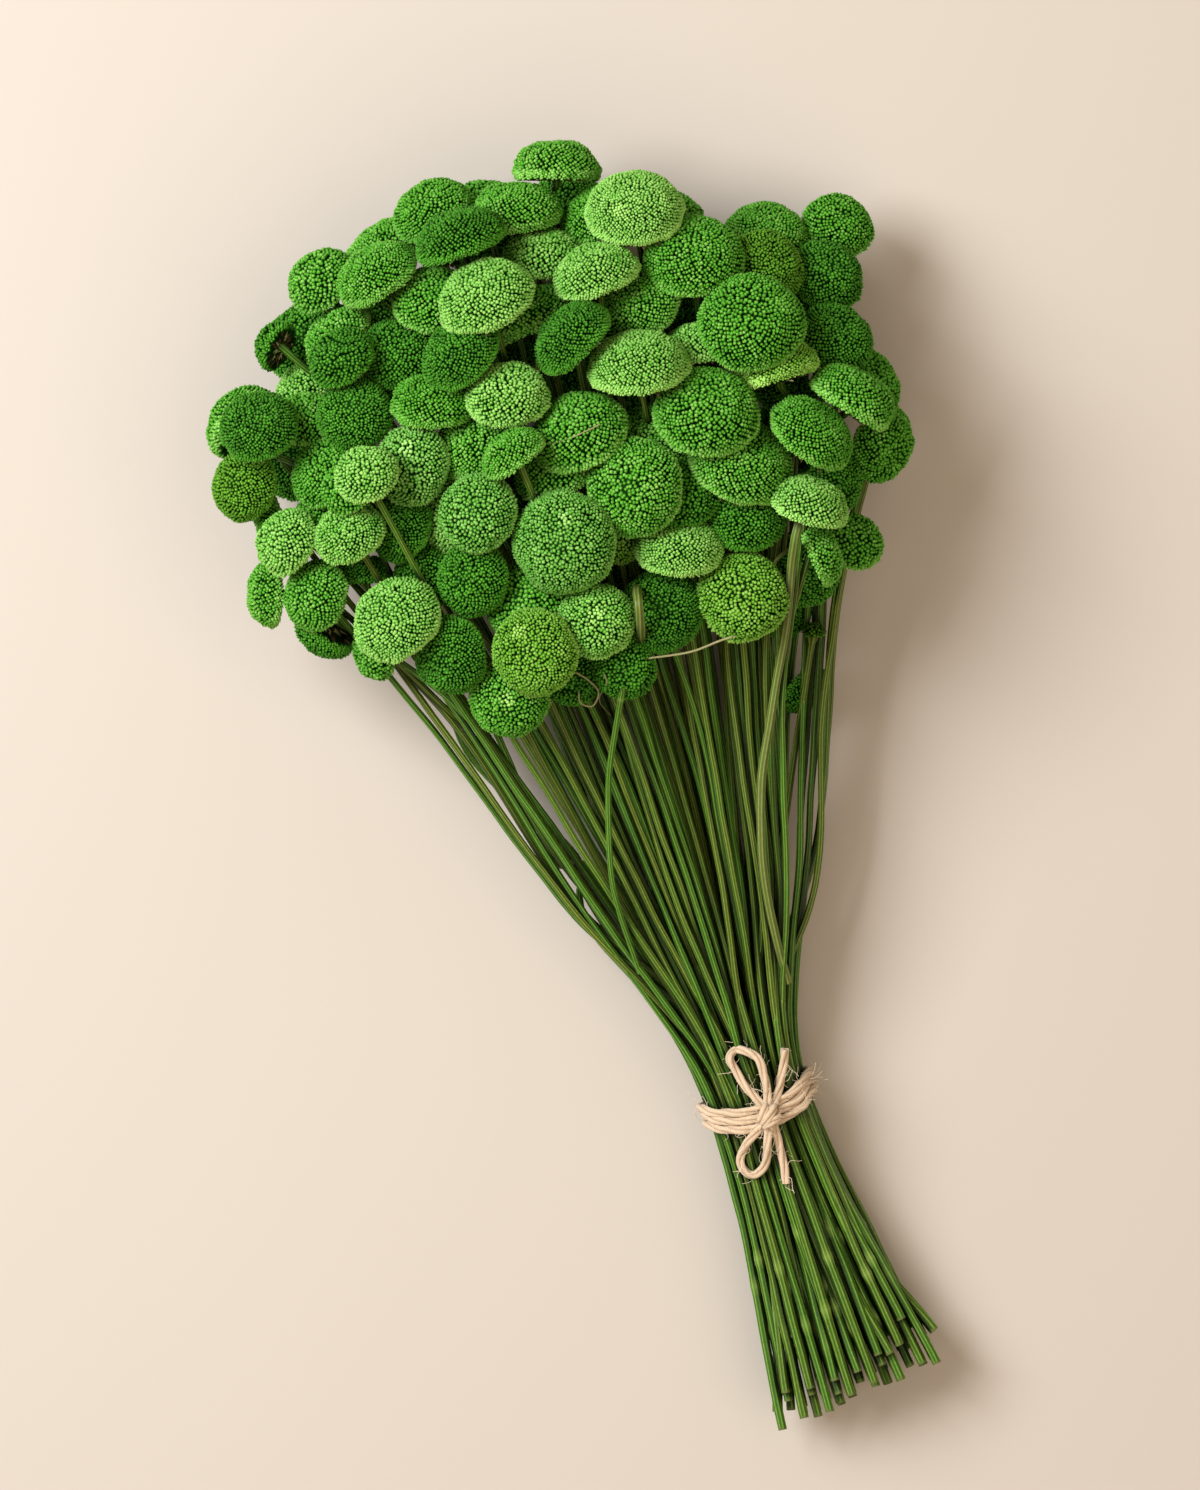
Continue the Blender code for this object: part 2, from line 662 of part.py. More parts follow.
def button_point(point, diameter, rings):
    """Move a point of a unit sphere to the button's skin, alternate ones out as florets."""
    polar = math.acos(max(-1.0, min(1.0, point.z)))
    ring = round(polar / math.pi * rings)
    around = math.atan2(point.y, point.x)
    spoke = round(around / math.tau * HEAD_SEGMENTS)
    crown = polar < 1.9
    flat = math.sin(polar) ** 0.8 if 0 < ring < rings else 0.0
    depth = CROWN if point.z > 0 else UNDERSIDE
    low_rim = (UNDERSIDE - CROWN) / 2
    relief = FLORET_RELIEF if (ring + spoke) % 2 == 0 else -FLORET_RELIEF
    swell = 1.0 + (2.0 * relief / diameter if crown else 0.0)
    reach = 0.5 * diameter * flat * swell
    height = diameter * (low_rim + depth * point.z * swell) - (1.0 if ring == rings else 0.0)
    return Vector((reach * math.cos(around), reach * math.sin(around), height))


def split_along_valleys(mesh):
    """Cut each four-sided face between its two low corners, so each floret is a peak."""
    for face in [face for face in mesh.faces if len(face.verts) == 4]:
        corners = sorted(face.verts, key=lambda vertex: vertex.co.length)
        low = [corners[0]]
        for corner in corners[1:]:
            if not any(corner in edge.verts for edge in low[0].link_edges
                       if edge in face.edges):
                low.append(corner)
        bmesh.utils.face_split(face, low[0], low[1])


def mesh_object(name, mesh, collection):
    """Make an object of a bmesh in millimetres, and free the bmesh."""
    bmesh.ops.scale(mesh, vec=Vector((MM, MM, MM)), verts=mesh.verts)
    data = bpy.data.meshes.new(name)
    mesh.to_mesh(data)
    mesh.free()
    item = bpy.data.objects.new(name, data)
    collection.objects.link(item)
    return item


def tube_mesh(name, points, radii, closed=False, resolution=0, tilt=0.0):
    """Make a tube's mesh in millimetres, from a curve with a bevel and filled caps."""
    curve = bpy.data.curves.new(name, "CURVE")
    curve.dimensions = "3D"
    curve.bevel_depth = 1.0
    curve.bevel_resolution = resolution
    curve.use_fill_caps = not closed
    spline = curve.splines.new("POLY")
    spline.points.add(len(points) - 1)
    for target, point, radius in zip(spline.points, points, radii):
        target.co = (*point, 1.0)
        target.radius = radius
        target.tilt = tilt
    spline.use_cyclic_u = closed
    source = bpy.data.objects.new(name, curve)
    bpy.context.scene.collection.objects.link(source)
    evaluated = source.evaluated_get(bpy.context.evaluated_depsgraph_get())
    data = bpy.data.meshes.new_from_object(evaluated)
    bpy.data.objects.remove(source)
    mesh = bmesh.new()
    mesh.from_mesh(data)
    bpy.data.meshes.remove(data)
    bmesh.ops.remove_doubles(mesh, verts=mesh.verts, dist=1e-4)
    return mesh


def flower_mesh(name, bunch, flower, tilt):
    """Model one whole flower: its stem, run into the open underside of its head."""
    points, radii = bunch.stem_of(flower)
    mesh = tube_mesh(name, points, radii, tilt=tilt)
    top = Vector(points[-1])
    cap = min(mesh.faces, key=lambda face: (face.calc_center_median() - top).length)
    bmesh.ops.delete(mesh, geom=[cap], context="FACES_ONLY")
    button = button_mesh(bunch, flower)
    head_data = bpy.data.meshes.new(name + "_head")
    button.to_mesh(head_data)
    button.free()
    mesh.from_mesh(head_data)
    bpy.data.meshes.remove(head_data)
    rims = [edge for edge in mesh.edges if edge.is_boundary]
    bmesh.ops.bridge_loops(mesh, edges=rims)
    bmesh.ops.recalc_face_normals(mesh, faces=mesh.faces)
    bmesh.ops.triangulate(mesh, faces=mesh.faces)
    return mesh


def unite(name, pieces, collection, material):
    """Join pieces that run into each other into one closed object."""
    body, others = pieces[0], pieces[1:]
    guests = bpy.data.collections.new(name + "_pieces")
    bpy.context.scene.collection.children.link(guests)
    for piece in others:
        guests.objects.link(piece)
        collection.objects.unlink(piece)
    union = body.modifiers.new("union", "BOOLEAN")
    union.operand_type = "COLLECTION"
    union.collection = guests
    union.operation = "UNION"
    union.solver = "EXACT"
    evaluated = body.evaluated_get(bpy.context.evaluated_depsgraph_get())
    data = bpy.data.meshes.new_from_object(evaluated)
    for piece in pieces:
        bpy.data.objects.remove(piece)
    bpy.data.collections.remove(guests)
    data.name = name
    item = bpy.data.objects.new(name, data)
    collection.objects.link(item)
    data.materials.clear()
    data.materials.append(material)
    data.shade_smooth()
    data.set_sharp_from_angle(angle=math.radians(50.0))
    return item


def plain_material(name, colour, roughness):
    """Make a plain surface of one colour."""
    material = bpy.data.materials.new(name)
    material.use_nodes = True
    shader = material.node_tree.nodes["Principled BSDF"]
    shader.inputs["Base Color"].default_value = (*colour, 1.0)
    shader.inputs["Roughness"].default_value = roughness
    shader.inputs["Metallic"].default_value = 0.0
    return material


def make_flowers(bunch, collection, material):
    """Model every flower and join the ones that are pressed together at the tie."""
    for number, members in enumerate(bunch.groups, start=1):
        name = f"flowers_{number:02d}"
        pieces = []
        for place, flower in enumerate(members):
            part_name = f"{name}_{place}"
            mesh = flower_mesh(part_name, bunch, flower, math.radians(45.0) * place)
            pieces.append(mesh_object(part_name, mesh, collection))
        unite(name, pieces, collection, material)


def stems_across(bunch, low, high):
    """Return how far the stems reach in the waist's oval between two places along it."""
    middle, along, across, up = tie_frame()
    reach = 1.0
    for flower in range(bunch.count):
        points, _ = bunch.stem_of(flower)
        offsets = points[:3] - middle
        stations = offsets @ along
        for station in (low, high):
            side = np.interp(station, stations, offsets @ across) / TIE_HALF_WIDTH
            level = np.interp(station, stations, offsets @ up) / TIE_HALF_HEIGHT
            reach = max(reach, math.hypot(side, level))
    return reach


def wrap_route(bunch, number):
    """Return the closed route of one turn of twine round the waist."""
    middle, along, across, up = tie_frame()
    station = (number - (WRAPS - 1) / 2) * STRAND_PITCH
    swell = stems_across(bunch, station - WRAP_SAG / 2, station + STRAND_RADIUS)
    stand_off = TIE_RADIUS + TWINE_GAP + STRAND_RADIUS
    chord = 1.0 / math.cos(math.pi / WRAP_POINTS)
    wide = (TIE_HALF_WIDTH * swell + stand_off) * chord
    high = (TIE_HALF_HEIGHT * swell + stand_off) * chord
    route = []
    for step in range(WRAP_POINTS):
        angle = math.tau * (step + 0.5) / WRAP_POINTS
        sag = WRAP_SAG * max(0.0, math.sin(angle)) ** 2
        route.append(middle + along * (station - sag) + across * wide * math.cos(angle)
                     + up * high * math.sin(angle))
    return route


def stem_top(bunch, x, y):
    """Return the height of the bundle's top under a strand at a place."""
    where = bunch.stem_points()
    flat = where * np.array([1.0, 1.0, 0.0])
    spot = np.tile([x, y, 0.0], (len(bunch.segment), 1))
    share, gap, _ = point_to_segment(spot, flat, bunch.segment)
    height = where[bunch.segment, 2] * (1 - share) + where[bunch.segment + 1, 2] * share
    height += bunch.radius_at(bunch.segment, share)
    return float(height[gap < BOW_FOOTPRINT].max())


def bow_route(bunch, outline, knot):
    """Lay a hand-drawn outline of the bow, given from the knot, on top of the bundle."""
    middle, along, _, _ = tie_frame()
    wrap_middle = float((knot - middle) @ along)
    route = []
    for dx, dy in outline:
        point = np.array([knot[0] + dx, knot[1] + dy, 0.0])
        height = stem_top(bunch, point[0], point[1]) + STRAND_RADIUS + TWINE_GAP
        station = float((point - middle) @ along)
        if abs(station - wrap_middle) < BOW_OVER_WRAPS:
            height = max(height, knot[2])
        route.append(np.array([point[0], point[1], height]))
    return route


def knot_mesh(knot):
    """Model the knot as one squashed ball with a waist."""
    mesh = bmesh.new()
    bmesh.ops.create_uvsphere(mesh, u_segments=8, v_segments=6, radius=1.0)
    for vertex in mesh.verts:
        pinch = 1.0 - 0.18 * math.cos(3.0 * math.atan2(vertex.co.y, vertex.co.x))
        size = Vector((KNOT_HALF_WIDTH * pinch, KNOT_HALF_WIDTH * pinch, KNOT_HALF_HEIGHT))
        vertex.co = vertex.co * size + Vector(knot)
    bmesh.ops.triangulate(mesh, faces=mesh.faces)
    return mesh


def make_twine(bunch, collection, material):
    """Model the twine: turns round the waist, knot, two loops and two tails, in one piece."""
    routes = [(wrap_route(bunch, number), True) for number in range(WRAPS)]
    top = max(point[2] for route, _ in routes for point in route)
    knot = np.array([TIE_X + KNOT_DX, TIE_Y + KNOT_DY, top + KNOT_LIFT])
    for outline in (UPPER_LOOP, LOWER_LOOP, UPPER_TAIL, LOWER_TAIL):
        routes.append((bow_route(bunch, outline, knot), False))
    pieces = []
    for number, (route, closed) in enumerate(routes):
        name = f"twine_tie_{number}"
        mesh = tube_mesh(name, route, [STRAND_RADIUS] * len(route), closed, resolution=1)
        bmesh.ops.triangulate(mesh, faces=mesh.faces)
        if closed:
            for vertex in mesh.verts:
                vertex.co.z = max(vertex.co.z, 0.0)
        pieces.append(mesh_object(name, mesh, collection))
    pieces.append(mesh_object("twine_tie_knot", knot_mesh(knot), collection))
    unite("twine_tie", pieces, collection, material)


def centre_on_floor(collection):
    """Bring the middle of the bunch's box to x = y = 0, keeping the floor at z = 0."""
    meshes = [item.data for item in collection.objects]
    corners = []
    for mesh in meshes:
        places = np.empty(3 * len(mesh.vertices))
        mesh.vertices.foreach_get("co", places)
        places = places.reshape(-1, 3)
        corners += [places.min(axis=0), places.max(axis=0)]
    middle = (np.min(corners, axis=0) + np.max(corners, axis=0)) / 2
    for mesh in meshes:
        mesh.transform(Matrix.Translation((-middle[0], -middle[1], 0.0)))


def clear_scene():
    """Remove whatever the scene holds."""
    for item in list(bpy.data.objects):
        bpy.data.objects.remove(item)


def main():
    """Model the whole bunch."""
    clear_scene()
    collection = bpy.data.collections.new(BUNCH_NAME)
    bpy.context.scene.collection.children.link(collection)
    green = plain_material("dyed_green_flower", (0.07, 0.26, 0.03), 0.75)
    bunch = Bunch(HEADS + UNDER_HEADS, len(HEADS))
    bunch.spread()
    make_flowers(bunch, collection, green)
    tan = plain_material("jute_twine", (0.62, 0.44, 0.27), 0.9)
    make_twine(bunch, collection, tan)
    centre_on_floor(collection)


main()
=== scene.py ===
"""Looks of a tied bunch of dried, dyed billy buttons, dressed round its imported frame.

The frame's solids say where each flower lies: the reader finds every head's middle, facing
and width in them, and the way that its stem takes through the tie. Node trees then grow the
florets, bracts and ribbed stems on those places, and the twine is wound from its own route.
"""

import logging
import math
import random
from dataclasses import dataclass, field
from enum import Enum, IntEnum

import bmesh
import bpy
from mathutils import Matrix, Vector
from mathutils.bvhtree import BVHTree


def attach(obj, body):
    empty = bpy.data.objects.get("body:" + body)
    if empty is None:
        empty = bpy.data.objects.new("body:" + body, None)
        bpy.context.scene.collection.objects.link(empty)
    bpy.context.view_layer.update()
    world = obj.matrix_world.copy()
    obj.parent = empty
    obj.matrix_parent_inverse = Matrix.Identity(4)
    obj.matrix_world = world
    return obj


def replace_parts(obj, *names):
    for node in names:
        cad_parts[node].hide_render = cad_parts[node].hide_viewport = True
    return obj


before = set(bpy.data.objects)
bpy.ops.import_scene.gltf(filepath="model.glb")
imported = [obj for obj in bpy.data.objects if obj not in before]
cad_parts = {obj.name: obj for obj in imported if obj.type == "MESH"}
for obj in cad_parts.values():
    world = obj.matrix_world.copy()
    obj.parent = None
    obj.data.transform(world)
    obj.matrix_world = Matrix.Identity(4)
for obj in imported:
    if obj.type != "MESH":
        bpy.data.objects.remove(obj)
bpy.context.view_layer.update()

Socket = bpy.types.NodeSocket
LOG = logging.getLogger("billy_buttons")
BODY = "root"
MM = 0.001
FLOOR_GAP = 0.05 * MM
UP = Vector((0.0, 0.0, 1.0))
FAR_AWAY = Vector((9.0, 9.0, 9.0))
BAKE_MAP = "OFBake"
GOLDEN_TURN = math.pi * (3.0 - math.sqrt(5.0))
FULL_TURN = 2.0 * math.pi
PALETTE_BANDS = 8
HIGHER_IS_NEARER = 0.2

# Photograph: its size in pixels, and the pixel and scale that its places are read from
PHOTO_WIDE, PHOTO_HIGH = 1200, 1490
PIXEL = 0.31 * MM
PIXEL_ORIGIN = (581.5, 797.0)
FRAME_SHIFT = Vector((1.046, -1.160, 0.0)) * MM

# Tie: its middle, and which way the stems run through it
TIE_MIDDLE = Vector((56.0, -94.0, 17.5)) * MM + FRAME_SHIFT
TIE_HEADING = math.radians(108.0)
ALONG_STEMS = Vector((math.cos(TIE_HEADING), math.sin(TIE_HEADING), 0.0))
ACROSS_STEMS = Vector((math.sin(TIE_HEADING), -math.cos(TIE_HEADING), 0.0))


def photo_point(px: float, py: float) -> Vector:
    """Give the place on the ground plan that a pixel of the photograph shows.

    Args:
        px: Column of the pixel.
        py: Row of the pixel.

    Returns:
        The place in metres, at height zero.
    """
    plan = Vector(((px - PIXEL_ORIGIN[0]) * PIXEL, (PIXEL_ORIGIN[1] - py) * PIXEL, 0.0))
    return plan + FRAME_SHIFT


class Tone(Enum):
    """Dye tone of a head: its family in the palette and how light it came out."""

    VIVID = (0, 0.50)
    LIGHT = (0, 0.71)
    DARK = (0, 0.24)
    OLIVE = (1, 0.34)
    YELLOW = (1, 0.58)
    FROSTED = (2, 0.59)
    BUD = (1, 0.10)


class Stuff(Enum):
    """What a face is made of, as the number that the trees store on it."""

    FLORET = 0.0
    BRACT = 1.0
    STEM = 2.0
    JUTE = 3.0


class Draw(IntEnum):
    """Seed of each draw of chance that the trees make."""

    POLAR = 11
    TURN = 12
    LEAN_ACROSS = 13
    LEAN_ALONG = 14
    LEAN_UP = 15
    SPIN_ACROSS = 16
    SPIN_ALONG = 17
    LIGHT = 18
    TALL = 19
    WIDE = 20
    BRACT_START = 31
    BRACT_TILT = 32
    BRACT_LIGHT = 33
    BRACT_LENGTH = 34
    FIBRE_LENGTH = 52
    FIBRE_ACROSS = 53
    FIBRE_ALONG = 54
    FIBRE_UP = 55


# Heads of the photograph whose tone isn't the vivid one, by the pixel at their middle
HEAD_TONES = {
    Tone.LIGHT: [
        (300, 383), (268, 432), (516, 238), (476, 269), (593, 285), (526, 351), (577, 354),
        (464, 361), (640, 221), (644, 380), (707, 358), (512, 388), (799, 500), (681, 542),
        (595, 619), (446, 508), (343, 533), (305, 541), (368, 480), (405, 620),
    ],
    Tone.DARK: [
        (273, 341), (405, 343), (247, 418), (362, 416), (371, 376), (566, 328), (470, 334),
        (448, 254), (680, 318), (725, 272), (822, 282), (832, 338), (790, 388), (685, 492),
        (738, 515), (833, 480), (798, 568), (804, 690), (790, 616), (608, 572), (667, 593),
        (616, 671), (573, 672), (495, 655), (650, 634), (528, 512), (428, 556), (393, 533),
        (328, 622), (366, 573), (447, 652), (470, 622),
    ],
    Tone.OLIVE: [(762, 264), (249, 482)],
    Tone.YELLOW: [(766, 372), (624, 533), (730, 594), (537, 650)],
    Tone.FROSTED: [(558, 541), (482, 510), (415, 458)],
}


@dataclass
class Flower:
    """One flower of the bunch: its button head, the way of its stem and any pale clump."""

    middle: Vector
    facing: Vector
    diameter: float
    path: list[Vector]
    tone: Tone = Tone.VIVID
    clump: Vector = field(default_factory=FAR_AWAY.copy)
    clump_reach: float = 1.0 * MM


# Pale clumps on heads: the head's pixel, the clump's pixel and its reach in millimetres
PALE_CLUMPS = (
    ((558, 541), (564, 522), 2.6), ((595, 619), (597, 616), 3.2), ((537, 650), (520, 632), 2.8),
    ((707, 358), (700, 378), 4.0), ((766, 372), (758, 388), 4.0), ((640, 221), (618, 214), 2.6),
    ((516, 695), (508, 700), 3.0), ((415, 458), (408, 452), 3.0),
)


@dataclass
class Ring:
    """A knot of the frame's vertices that lie close together: a stem's ring, or part of one."""

    verts: set
    middle: Vector


@dataclass
class FlowerReader:
    """Finds the heads and stems in one solid of the frame."""

    name: str
    head_spokes: int = 10
    least_rings: int = 3
    stem_sides: int = 4
    ring_reach: float = 2.6 * MM
    far_from_tie: float = 60.0 * MM
    same_place: float = 0.002 * MM
    merged: bmesh.types.BMesh = field(init=False)

    def __post_init__(self) -> None:
        """Take a merged copy of the solid's mesh."""
        self.merged = bmesh.new()
        self.merged.from_mesh(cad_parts[self.name].data)
        bmesh.ops.remove_doubles(self.merged, verts=self.merged.verts, dist=self.same_place)

    def rings_below(self, pole: bmesh.types.BMVert) -> list[set]:
        """Walk down a head from its pole.

        Args:
            pole: Vertex at the head's top.

        Returns:
            The rings of vertices met on the way, as long as they are whole.
        """
        seen = {pole}
        level = {pole}
        rings = []
        while True:
            level = {edge.other_vert(vert) for vert in level for edge in vert.link_edges} - seen
            if len(level) != self.head_spokes:
                return rings
            rings.append(level)
            seen |= level

    def whole_heads(self) -> list[tuple[bmesh.types.BMVert, list[set]]]:
        """Find each head whose pole and rings are whole.

        Returns:
            Pairs of a pole and its rings.
        """
        heads = []
        for vert in self.merged.verts:
            if len(vert.link_edges) == self.head_spokes:
                rings = self.rings_below(vert)
                if len(rings) >= self.least_rings:
                    heads.append((vert, rings))
        return heads

    def knots(self, taken: set) -> list[Ring]:
        """Group the vertices that no head took by the short edges between them.

        Args:
            taken: Vertices of the heads.

        Returns:
            The groups, of which those of four vertices are a stem's rings.
        """
        seen = set(taken)
        rings = []
        for vert in self.merged.verts:
            if vert in seen:
                continue
            seen.add(vert)
            group, waiting = {vert}, [vert]
            while waiting:
                here = waiting.pop()
                for edge in here.link_edges:
                    other = edge.other_vert(here)
                    if other not in seen and edge.calc_length() < self.ring_reach:
                        seen.add(other)
                        group.add(other)
                        waiting.append(other)
            rings.append(Ring(group, middle_of(group)))
        return rings

    def walk_down(self, start: Ring, rings: list[Ring], used: set) -> list[Vector]:
        """Follow a stem's rings from its neck towards the tie.

        Args:
            start: The ring at the neck.
            rings: All groups of the solid.
            used: Numbers of the groups that are spent.

        Returns:
            The middles of the rings, from the neck down.
        """
        home = {vert: number for number, ring in enumerate(rings) for vert in ring.verts}
        path = []
        here = start
        while here is not None:
            used.add(rings.index(here))
            path.append(here.middle)
            near = set()
            for vert in here.verts:
                near |= {home.get(edge.other_vert(vert)) for edge in vert.link_edges}
            nexts = [
                rings[number]
                for number in near - used - {None}
                if len(rings[number].verts) == self.stem_sides
            ]
            here = min(nexts, key=lambda ring: station_of(ring.middle), default=None)
        return path

    def slice_middles(self, station: float) -> list[Vector]:
        """Cut the solid across the stems.

        Args:
            station: Distance of the cut from the tie, towards the heads.

        Returns:
            The middle of each closed cut line.
        """
        cut = self.merged.copy()
        plane = TIE_MIDDLE + ALONG_STEMS * station
        every = cut.verts[:] + cut.edges[:] + cut.faces[:]
        found = bmesh.ops.bisect_plane(cut, geom=every, plane_co=plane, plane_no=ALONG_STEMS)
        edges = [item for item in found["geom_cut"] if isinstance(item, bmesh.types.BMEdge)]
        middles = []
        left = set(edges)
        while left:
            loop, waiting = set(), [left.pop()]
            while waiting:
                edge = waiting.pop()
                loop |= set(edge.verts)
                nexts = {e for v in edge.verts for e in v.link_edges} & left
                left -= nexts
                waiting += nexts
            middles.append(middle_of(loop))
        cut.free()
        return middles


def middle_of(verts: set) -> Vector:
    """Give the mean place of some vertices."""
    return sum((vert.co for vert in verts), Vector()) / len(verts)


def station_of(place: Vector) -> float:
    """Give how far a place lies from the tie, measured along the stems."""
    return (place - TIE_MIDDLE).dot(ALONG_STEMS)


@dataclass
class BunchReader:
    """Reads every flower of the bunch from the frame's solids."""

    prefix: str = "flowers"
    end_station: float = -84.0 * MM
    first_station: float = 8.0 * MM
    last_station: float = 76.0 * MM
    station_step: float = 4.0 * MM
    widest_stray: float = 30.0 * MM
    least_strays: int = 20
    least_path: int = 3
    least_walk_end: float = 30.0 * MM
    widest_guess: float = 12.0 * MM
    shortest_run: float = 6.0 * MM
    spare_end: float = 0.9
    end_side: float = 1.2 * MM
    end_beyond: float = 6.0 * MM
    rim_drop: float = 0.12

    def read(self) -> dict[str, list[Flower]]:
        """Read all solids that hold flowers.

        Returns:
            The flowers of each solid, by the solid's name.
        """
        names = sorted(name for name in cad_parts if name.startswith(self.prefix))
        return {name: self.read_solid(FlowerReader(name)) for name in names}

    def read_solid(self, reader: FlowerReader) -> list[Flower]:
        """Read the flowers of one solid.

        Args:
            reader: Reader of that solid.

        Returns:
            Its flowers, each with a way from the head to the cut end.
        """
        heads = reader.whole_heads()
        taken = {vert for pole, rings in heads for ring in rings for vert in ring}
        taken |= {pole for pole, rings in heads}
        groups = reader.knots(taken)
        fours = [g for g in groups if len(g.verts) == reader.stem_sides]
        used: set = set()
        flowers = []
        for pole, rings in heads:
            flower = self.measure_head(pole, rings)
            flower.path = self.best_walk(reader, rings[-1], groups, used)
            flowers.append(flower)
        strays = [
            g.middle
            for g in groups
            if len(g.verts) == 1 and station_of(g.middle) > reader.far_from_tie
        ]
        spare = [g.middle for g in fours if groups.index(g) not in used]
        spare = [place for place in spare if station_of(place) > reader.far_from_tie / 2]
        flowers += self.pressed_heads(strays, spare, flowers)
        for flower in flowers:
            if len(flower.path) < self.least_path:
                flower.path = self.spare_walk(flower, spare)
        self.join_at_tie(reader, flowers)
        self.run_to_cut_ends(reader, flowers, fours)
        reader.merged.free()
        return flowers

    def measure_head(self, pole: bmesh.types.BMVert, rings: list[set]) -> Flower:
        """Measure a head.

        Args:
            pole: Vertex at the head's top.
            rings: The rings of vertices below it.

        Returns:
            A flower with the head's middle, facing and diameter, and no path yet.
        """
        middles = [middle_of(ring) for ring in rings]
        facing = (pole.co - middles[-1]).normalized()
        widths = [
            sum((vert.co - middle).length for vert in ring) / len(ring)
            for ring, middle in zip(rings, middles)
        ]
        widest = widths.index(max(widths))
        diameter = 2 * widths[widest]
        middle = middles[widest] + facing * (self.rim_drop * diameter)
        return Flower(middle, facing, diameter, [])

    def best_walk(self, reader: FlowerReader, last: set, groups: list, used: set) -> list[Vector]:
        """Follow the stem that leaves a head.

        Args:
            reader: Reader of the solid.
            last: The head's lowest whole ring.
            groups: Groups of vertices that no head took.
            used: Numbers of the groups that other stems took; the walk adds its own.

        Returns:
            Places on the stem from the neck towards the tie, or none.
        """
        home = {vert: number for number, group in enumerate(groups) for vert in group.verts}
        near = {home.get(e.other_vert(v)) for v in last for e in v.link_edges} - {None}
        starts = set(near)
        for number in near:
            for vert in groups[number].verts:
                starts |= {home.get(edge.other_vert(vert)) for edge in vert.link_edges}
        best: list[Vector] = []
        best_used: set = set()
        for number in sorted(starts - {None}):
            if len(groups[number].verts) != reader.stem_sides:
                continue
            trial = set(used)
            walk = reader.walk_down(groups[number], groups, trial)
            if self.is_good(walk) and len(walk) > len(best):
                best, best_used = walk, trial
        used |= best_used
        return best

    def is_good(self, walk: list[Vector]) -> bool:
        """Tell whether a walk along a stem has come down close to the tie.

        Args:
            walk: Places on the stem from the neck down.

        Returns:
            Whether its last place is its lowest, and still above the tie.
        """
        stations = [station_of(place) for place in walk]
        if len(walk) < self.least_path:
            return False
        return self.least_walk_end < stations[-1] < min(stations[:-1])

    def pressed_heads(self, strays: list, spare: list, flowers: list) -> list[Flower]:
        """Find the heads whose poles are pressed flat, where the bunch rests.

        Args:
            strays: Places of single vertices that belong to no stem.
            spare: Rings of stems that no whole head claimed.
            flowers: The flowers found so far.

        Returns:
            The flowers whose heads are pressed, if any.
        """
        clear = [p for p in strays if all((p - f.middle).length > f.diameter for f in flowers)]
        if len(clear) < self.least_strays:
            return []
        middle = sum(clear, Vector()) / len(clear)
        near = [place for place in clear if (place - middle).length < self.widest_stray]
        middle = sum(near, Vector()) / len(near)
        diameter = 2 * sorted((place - middle).length for place in near)[-len(near) // 4]
        necks = sorted(spare, key=lambda place: (place - middle).length)
        neck = necks[0] if necks else TIE_MIDDLE
        return [Flower(middle, (middle - neck).normalized(), diameter, [])]

    def spare_walk(self, flower: Flower, spare: list[Vector]) -> list[Vector]:
        """Give a flower the unclaimed rings that lie between its head and the tie.

        Args:
            flower: The flower that has no walk.
            spare: Rings of stems that no whole head claimed.

        Returns:
            Places on its stem, of which there is one at least.
        """
        line = TIE_MIDDLE - flower.middle
        way = []
        for place in sorted(spare, key=station_of, reverse=True):
            share = (place - flower.middle).dot(line) / line.length_squared
            aside = (place - flower.middle - line * share).length
            if 0.0 < share < self.spare_end and aside < self.widest_stray:
                way.append(place)
        return way or [flower.middle - flower.facing * flower.diameter]

    def join_at_tie(self, reader: FlowerReader, flowers: list[Flower]) -> None:
        """Add each stem's place in the tie, on the line that its last stretch takes.

        Args:
            reader: Reader of the solid.
            flowers: Its flowers, whose paths are added to.
        """
        station = self.first_station
        middles = reader.slice_middles(station)
        while len(middles) < len(flowers) and station < self.last_station:
            station += self.station_step
            middles = reader.slice_middles(station)
        for flower in flowers:
            upper = flower.path[-1]
            high = station_of(upper)
            share = (high - station) / high
            guess = upper.lerp(TIE_MIDDLE, share)
            lower = min(middles, key=lambda middle: (middle - guess).length)
            if (lower - guess).length > self.widest_guess or high - station < self.shortest_run:
                lower = guess
            way = (upper - lower) / max(station_of(upper) - station_of(lower), MM)
            flower.path.append(upper - way * high)

    def run_to_cut_ends(self, reader: FlowerReader, flowers: list, fours: list) -> None:
        """Add each stem's cut end, so that stems of a solid don't cross.

        Args:
            reader: Reader of the solid.
            flowers: Its flowers, whose paths are added to.
            fours: Groups of four vertices, which are rings of stems.
        """
        ends = [g.middle for g in fours if station_of(g.middle) < self.end_station]
        ends = ends[: len(flowers)]
        if len(ends) < len(flowers):
            middles = reader.slice_middles(self.end_station)
            middle = sum(middles, Vector()) / len(middles)
            while len(ends) < len(flowers):
                mean = sum(ends, Vector()) / len(ends) if ends else middle
                side = ACROSS_STEMS * (self.end_side * (1 if ends else -1))
                reach = ALONG_STEMS * (self.end_station - self.end_beyond - station_of(middle))
                ends.append(middle * 2 - mean + side + reach if ends else middle + side + reach)
        rank = sorted(range(len(flowers)), key=lambda n: flowers[n].path[-1].dot(ACROSS_STEMS))
        ends.sort(key=lambda place: place.dot(ACROSS_STEMS))
        for number, end in zip(rank, ends):
            flowers[number].path.append(end)


def in_scene(name: str, data: bpy.types.ID) -> bpy.types.Object:
    """Put a mesh, lamp or camera into the scene.

    Args:
        name: Name of its object.
        data: The mesh, lamp or camera.

    Returns:
        The object.
    """
    item = bpy.data.objects.new(name, data)
    bpy.context.scene.collection.objects.link(item)
    return item


